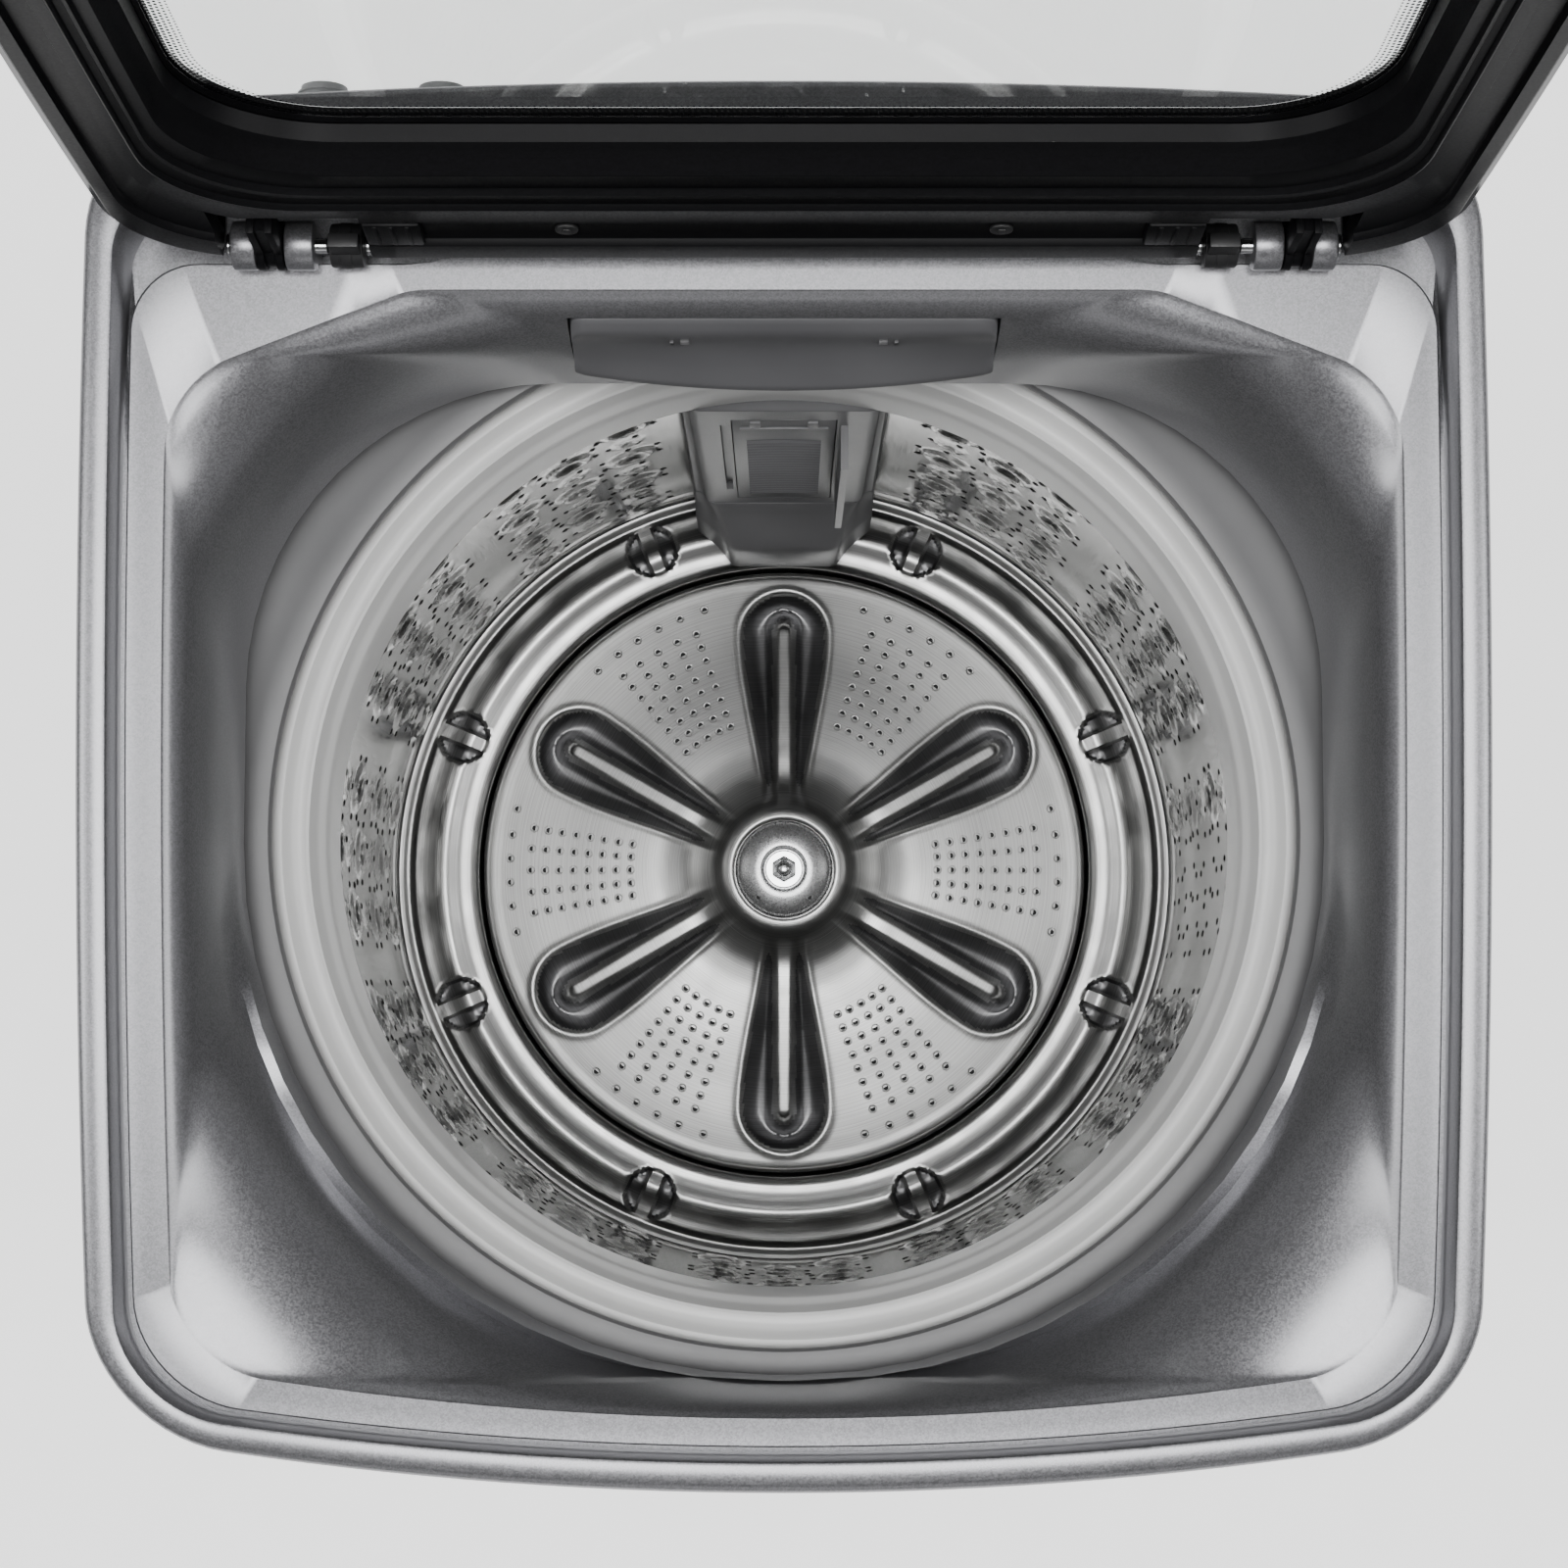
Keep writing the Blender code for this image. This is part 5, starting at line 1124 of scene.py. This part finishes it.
# ---------------------------------------------------------------- lint filter
def column_section(height, face, face_half, chamfer, waist=0.0):
    """Plan section of the column at a height, its back on the drum wall."""
    back = DRUM_RADIUS - 0.0030
    half = COLUMN_HALF_WIDTH - waist
    points = [(0.0, face), (0.0285, face), (face_half - 0.003, face), (face_half, face + 0.0007),
              (face_half + 0.0022, face + 0.0022)]
    side_x = half - 0.0015
    for share in (0.25, 0.5, 0.75):
        hollow = 0.0012 * math.sin(math.pi * share)
        points.append((face_half + 0.0022 + (side_x - face_half - 0.0022) * share - hollow,
                       face + 0.0022 + (chamfer - 0.0022) * share + hollow))
    points.append((side_x, face + chamfer))
    points.append((half, face + chamfer + 0.002))
    right = [(half * (1 - i / 8), 0.0) for i in range(9)]
    points += [(x, math.sqrt(back ** 2 - x * x)) for x, _ in right]
    whole = points + [(-x, y) for x, y in points[-2:0:-1]]
    return [(x, DRUM_Y + y, height) for x, y in whole]


def make_filter_column():
    foot, top = BASE_TOP + 0.0072, 0.783
    keys = [(foot, 0.1990, 0.0330, 0.0220), (0.440, 0.1992, 0.0330, 0.0218),
            (0.466, 0.2000, 0.0332, 0.0212), (0.478, 0.2040, 0.0345, 0.0190),
            (0.500, 0.2150, 0.0400, 0.0120), (0.516, 0.2215, 0.0445, 0.0080),
            (0.526, 0.2235, 0.0460, 0.0070), (0.600, 0.2236, 0.0465, 0.0070),
            (0.700, 0.2238, 0.0475, 0.0070), (top - 0.0015, 0.2238, 0.0480, 0.0070),
            (top, 0.2248, 0.0470, 0.0070)]
    rows = [column_section(*key) for key in curve_through(keys, 4)]
    bm = skin(rows, closed=False)
    bmesh.ops.triangulate(bm, faces=[face for face in bm.faces if len(face.verts) > 4])
    column = to_piece("filter_column_moulding", bm, FINISHES["column_grey"], "drum",
                      ["filter_column"])
    hole = bmesh.new()
    add_block(hole, (-0.0285, DRUM_Y + 0.19, 0.5315), (0.0285, DRUM_Y + 0.2415, 0.7670))
    cut(column, hole)
    for side in (-1, 1):
        hole = bmesh.new()
        low, high = sorted((side * 0.0305, side * 0.0345))
        add_block(hole, (low, DRUM_Y + 0.20, 0.560), (high, DRUM_Y + 0.2285, 0.752))
        cut(column, hole)
    column.data.shade_smooth()
    column.data.set_sharp_from_angle(angle=math.radians(30))


def make_filter_cover():
    """Snap-in cover of the lint filter: a plain thumb area and fine bowed ribs under it."""
    face = DRUM_Y + COLUMN_FACE
    bm = bmesh.new()
    add_block(bm, (-0.028, face, 0.5325), (0.028, face + 0.003, 0.7665), bevel=0.0007)
    count = 22
    for i in range(count):
        height = 0.555 + 0.165 * i / count
        pieces = 10
        rows = []
        for k in range(pieces + 1):
            x = -0.0205 + 0.041 * k / pieces
            drop = 0.0028 * (x / 0.0205) ** 2
            y, z = face, height - drop
            rows.append([(x, y + 0.0004, z - 0.0016), (x, y - 0.0011, z - 0.0006),
                         (x, y - 0.0012, z + 0.0004), (x, y + 0.0004, z + 0.0014)])
        skin(rows, closed=False, bm=bm)
    for side in (-1, 1):
        low, high = sorted((side * 0.0125, side * 0.0185))
        add_block(bm, (low, face - 0.0016, 0.7540), (high, face + 0.001, 0.7655), bevel=0.0006)
    add_block(bm, (-0.024, face - 0.0014, 0.7475), (0.024, face + 0.001, 0.7500), bevel=0.0005)
    to_piece("filter_cover_panel", bm, FINISHES["column_grey"], "filter", ["filter_cover"])


# ---------------------------------------------------------------- lid
LID_PLACE = (Matrix.Translation(LID_AXIS) @ Matrix.Rotation(RIM_SLOPE - OPEN_ANGLE, 4, "X"))


def lid_piece(name, bm, finish, nodes=(), smooth=32):
    return to_piece(name, bm, finish, "lid", nodes, place=LID_PLACE, smooth=smooth)


def make_lid_frame():
    top, plate = LID_TOP, LID_TOP - LID_PLATE
    bm = skin([
        flat(lid_outline(0.0006), -LID_SKIRT), flat(lid_outline(0), -LID_SKIRT + 0.0008),
        flat(lid_outline(0), top - 0.0060), flat(lid_outline(0.0004), top - 0.0036),
        flat(lid_outline(0.0018), top - 0.0014), flat(lid_outline(0.0042), top - 0.0003),
        flat(lid_outline(0.0070), top), flat(window_outline(0.0010), top),
        flat(window_outline(0.0), top - 0.0006), flat(window_outline(0), plate),
        flat(lid_outline(LID_WALL), plate), flat(lid_outline(LID_WALL), -LID_SKIRT)])
    bmesh.ops.triangulate(bm, faces=bm.faces)
    lid = lid_piece("lid_outer_moulding", bm, FINISHES["lid_black"], ["lid_frame"])
    cut_notches(lid)


def lid_notch(side, low=(-0.052, -0.014), high=(0.006, 0.0140)):
    near, far = sorted((side * 0.1835, side * 0.2500))
    bm = bmesh.new()
    add_block(bm, (near, low[0], low[1]), (far, high[0], high[1]))
    bmesh.ops.transform(bm, matrix=LID_PLACE, verts=bm.verts)
    bmesh.ops.translate(bm, verts=bm.verts, vec=(0, -SHIFT, 0))
    return bm


def cut_notches(lid):
    for side in (-1, 1):
        cut(lid, lid_notch(side))
    lid.data.shade_smooth()
    lid.data.set_sharp_from_angle(angle=math.radians(32))


def make_lid_inner_frame():
    """Inner moulding of the lid: stepped bands from the outer lip down to the glass."""
    outer, window = lid_outline(LID_WALL + 0.0007), window_outline(0.0)
    face = -LID_INNER_FACE
    bands = [(0.012, face + 0.0006), (0.030, face), (0.150, face), (0.158, face + 0.0010),
             (0.166, face + 0.0030), (0.176, face + 0.0036), (0.365, face + 0.0036),
             (0.378, face + 0.0030), (0.388, face + 0.0010), (0.400, face), (0.520, face),
             (0.532, face - 0.0007), (0.545, face - 0.0012), (0.556, face - 0.0006),
             (0.566, face + 0.0010), (0.630, face + 0.0014), (0.642, face + 0.0006),
             (0.652, face - 0.0004), (0.680, face - 0.0004), (0.690, face + 0.0010),
             (0.700, face + 0.0020), (0.812, face + 0.0020), (0.826, face + 0.0030),
             (0.850, face + 0.0075), (0.900, face + 0.0105), (0.925, face + 0.0120),
             (0.940, 0.0112)]
    rows = [flat(outer, 0.005), flat(outer, face + 0.0020)]
    rows += [flat(blend(outer, window, share), height) for share, height in bands]
    rows += [flat(blend(outer, window, 0.925), 0.0116), flat(blend(outer, window, 0.80), 0.0050)]
    bm = skin(rows)
    bmesh.ops.triangulate(bm, faces=bm.faces)
    inner = lid_piece("lid_inner_moulding", bm, SATIN_BLACK, ["lid_inner_frame"])
    cut_notches(inner)
    make_lid_hinge_straps()


def make_lid_hinge_straps():
    """Lid knuckles: a grooved barrel with a strap to the lid, and the stop block beside it."""
    bm = bmesh.new()
    for side in (-1, 1):
        low, high = sorted((side * 0.2235, side * 0.2355))
        middle = (low + high) / 2
        for start, end, radius in ((low, low + 0.0036, KNUCKLE_RADIUS),
                                   (low + 0.0036, high - 0.0036, KNUCKLE_RADIUS - 0.0016),
                                   (high - 0.0036, high, KNUCKLE_RADIUS)):
            add_rod(bm, (start, 0, 0), (end, 0, 0), radius, bevel=0.0006)
        for x in (low + 0.0002, high - 0.0038):
            add_block(bm, (x, -0.034, -0.0075), (x + 0.0036, -0.002, 0.0045), bevel=0.0007)
        add_block(bm, (middle - 0.0025, -0.033, -0.0060), (middle + 0.0025, -0.003, 0.0030))
        near, far = sorted((side * 0.1580, side * 0.1832))
        add_block(bm, (near, -0.0450, -0.0088), (far, -0.0220, -0.0020), bevel=0.0014)
        for i in range(3):
            x = near + 0.0045 + i * 0.0070
            add_block(bm, (x, -0.0440, -0.0094), (x + 0.0022, -0.0240, -0.0078), bevel=0.0006)
    lid_piece("lid_hinge_straps", bm, SATIN_BLACK)
    caps = bmesh.new()
    for side in (-1, 1):
        for y in (-0.0330,):
            add_rod(caps, (side * 0.095, y, -0.0040), (side * 0.095, y, -0.0062), 0.0052, 32,
                    0.0008)
            add_rod(caps, (side * 0.095, y, -0.0061), (side * 0.095, y, -0.0068), 0.0026, 6,
                    0.0003)
    lid_piece("lid_screw_caps", caps, FINISHES["base_plastic"])


def make_lid_glass():
    """Clear pane behind the frame, with a printed border of dots that fades to clear."""
    plate = LID_TOP - LID_PLATE
    low, high = plate - GLASS_THICKNESS - 0.0003, plate - 0.0003
    bm = skin([flat(window_outline(0.0112), low), flat(window_outline(0.012), low + 0.0006),
               flat(window_outline(0.012), high - 0.0006), flat(window_outline(0.0112), high)],
              closed=False)
    lid_piece("lid_pane", bm, FINISHES["lid_glass"], ["lid_glass"])
    dots = bmesh.new()
    pitch = 0.0024
    height = low - 0.00012
    for row in range(5):
        loop = window_outline(-0.0012 - row * pitch * 0.87)
        size = 0.00105 - 0.00012 * row
        for spot in walk(loop, pitch, pitch * 0.5 * (row % 2)):
            ring = [dots.verts.new((spot[0] + size * math.cos(k * math.pi / 3),
                                    spot[1] + size * math.sin(k * math.pi / 3), height))
                    for k in range(6)]
            dots.faces.new(ring)
    bmesh.ops.solidify(dots, geom=dots.faces[:], thickness=0.00005)
    lid_piece("glass_border_dots", dots, FINISHES["display_black"])
    band = skin([flat(window_outline(0.0005), height), flat(window_outline(0.0090), height),
                 flat(window_outline(0.0090), height - 0.00006),
                 flat(window_outline(0.0005), height - 0.00006)])
    lid_piece("glass_border_band", band, FINISHES["display_black"])


def walk(loop, pitch, start):
    """Points a fixed distance apart round a closed loop."""
    spots, due = [], start
    for a, b in zip(loop, loop[1:] + loop[:1]):
        a, b = Vector(a), Vector(b)
        length = (b - a).length
        while due < length:
            spots.append(tuple(a.lerp(b, due / length)))
            due += pitch
        due -= length
    return spots


def make_hinge_hardware():
    for side, word in ((-1, "left"), (1, "right")):
        pin = bmesh.new()
        add_rod(pin, (side * 0.2045, 0, 0), (side * 0.2485, 0, 0), PIN_RADIUS, bevel=0.0006)
        add_rod(pin, (side * 0.2480, 0, 0), (side * 0.2495, 0, 0), 0.0055, bevel=0.0005)
        lid_piece("hinge_pin_" + word + "_chrome", pin, FINISHES["bright_steel"],
                  ["hinge_pin_" + word])
        damper = bmesh.new()
        add_rod(damper, (side * 0.1880, 0, 0), (side * 0.2030, 0, 0), 0.0098, bevel=0.0010)
        add_rod(damper, (side * 0.1930, 0, 0), (side * 0.1985, 0, 0), 0.0102, bevel=0.0005)
        add_block(damper, tuple(min(a, b) for a, b in zip((side * 0.1886, -0.0165, -0.0070),
                                                          (side * 0.2024, 0.0, 0.0))),
                  tuple(max(a, b) for a, b in zip((side * 0.1886, -0.0165, -0.0070),
                                                  (side * 0.2024, 0.0, 0.0))), bevel=0.0010)
        lid_piece("lid_damper_" + word + "_barrel", damper, FINISHES["base_plastic"],
                  ["lid_damper_" + word])
        tip = bmesh.new()
        add_rod(tip, (side * 0.1845, 0, 0), (side * 0.1882, 0, 0), 0.0042, bevel=0.0008)
        lid_piece("lid_damper_" + word + "_tip", tip, FINISHES["bright_steel"])


# ---------------------------------------------------------------- water inlets and feet
def make_inlet_threads():
    """Threaded spouts of the two inlet valves, each on its valve body."""
    rear = HALF_D + 0.017
    for name, x in VALVE_PLACES.items():
        bm = bmesh.new()
        add_rod(bm, (x, HALF_D - 0.0180, VALVE_HEIGHT), (x, rear - 0.0002, VALVE_HEIGHT), 0.0108)
        for i in range(6):
            y = HALF_D + 0.0010 + i * 0.0024
            add_rod(bm, (x, y, VALVE_HEIGHT), (x, y + 0.0012, VALVE_HEIGHT), 0.0125,
                    bevel=0.0005)
        add_block(bm, (x - 0.018, HALF_D - 0.043, VALVE_HEIGHT - 0.018),
                  (x + 0.018, HALF_D - 0.0205, VALVE_HEIGHT + 0.018), bevel=0.0025)
        to_piece(name + "_body", bm, FINISHES["housing_grey"], "casing", [name])


def make_feet():
    """Ribbed rubber pads of the four feet; the front ones carry a narrow stem, drawn in the same rubber."""
    for word, side, front in (("front_foot_left", -1, True), ("front_foot_right", 1, True),
                              ("rear_foot_left", -1, False), ("rear_foot_right", 1, False)):
        low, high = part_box(word)
        x, y = (low.x + high.x) / 2, (low.y + high.y) / 2 - SHIFT
        top = high.z
        pad = [(0, 0), (0.0190, 0), (0.0208, 0.0006), (0.0218, 0.0020), (0.0218, 0.0046),
               (0.0206, 0.0056), (0.0206, 0.0066), (0.0218, 0.0076), (0.0218, 0.0108),
               (0.0206, 0.0124), (0.0150, 0.0150)]
        if front:
            pad += [(0.0110, 0.0168), (0.0104, 0.0255), (0.0050, 0.0260), (0.0050, top), (0, top)]
        else:
            pad += [(0.0166, 0.0190), (0.0166, top - 0.0006), (0.0160, top), (0, top)]
        bm = spun(pad, SMALL_ROUND_STEPS, centre=(x, y, 0))
        body = word if front else "casing"
        to_piece(word + "_pad", bm, FINISHES["rubber"], body, [word])


# ---------------------------------------------------------------- finishes of the frame's nodes
def finish_frame_nodes():
    slots = {part["node"]: part["material_slot"] for part in frame["record"]["subparts"]}
    for name, obj in frame["nodes"].items():
        finish = FINISHES[slots[name]]
        if not obj.data.materials:
            obj.data.materials.append(finish)
        for i in range(len(obj.data.materials)):
            obj.data.materials[i] = finish


# ---------------------------------------------------------------- studio
def make_studio():
    bm = bmesh.new()
    bmesh.ops.create_grid(bm, x_segments=8, y_segments=8, size=4.0)
    mesh = bpy.data.meshes.new("studio_floor")
    bm.to_mesh(mesh)
    bm.free()
    mesh.materials.append(studio_floor("white_studio_paper"))
    floor = bpy.data.objects.new("studio_floor", mesh)
    bpy.context.scene.collection.objects.link(floor)
    world = bpy.data.worlds.new("studio")
    world.use_nodes = True
    background = world.node_tree.nodes["Background"]
    background.inputs["Color"].default_value = (1.0, 1.0, 1.0, 1.0)
    background.inputs["Strength"].default_value = 0.17
    bpy.context.scene.world = world


def make_light(name, place, target, size, power):
    lamp = bpy.data.lights.new(name, "AREA")
    lamp.shape = "RECTANGLE"
    lamp.size, lamp.size_y = size
    lamp.energy = power
    obj = bpy.data.objects.new(name, lamp)
    obj.location = place
    obj.rotation_euler = (Vector(target) - Vector(place)).to_track_quat("-Z", "Y").to_euler()
    bpy.context.scene.collection.objects.link(obj)


def make_camera():
    lens = bpy.data.cameras.new("camera")
    lens.lens = 64.7
    lens.sensor_width = 36.0
    lens.clip_start = 0.05
    camera = bpy.data.objects.new("camera", lens)
    camera.location = (0.0, -0.1000, 2.2466)
    camera.rotation_euler = (math.radians(4.2), 0.0, 0.0)
    bpy.context.scene.collection.objects.link(camera)
    bpy.context.scene.camera = camera


make_camera()
make_studio()
make_light("overhead_soft", (0.0, -0.2, 3.4), (0, 0, 0.9), (1.5, 1.1), 62)
make_light("left_soft", (-2.2, -0.2, 2.8), (0, 0, 0.9), (0.9, 1.8), 38)
make_light("right_soft", (2.2, -0.2, 2.8), (0, 0, 0.9), (0.9, 1.8), 38)
make_light("front_soft", (0.0, -3.0, 1.6), (0, 0, 0.6), (2.0, 1.0), 5)
make_light("rear_soft", (0.0, 2.8, 2.2), (0, 0, 0.8), (2.0, 1.0), 3)

finish_frame_nodes()
make_top_cover()
make_cabinet()
make_drawer()
make_tub_cover()
make_balance_ring()
make_drum_shell()
make_drum_holes()
make_drum_base()
make_wash_plate()
make_plate_holes()
make_hub()
make_filter_column()
make_filter_cover()
make_lid_frame()
make_lid_inner_frame()
make_lid_glass()
make_hinge_hardware()
make_inlet_threads()
make_feet()
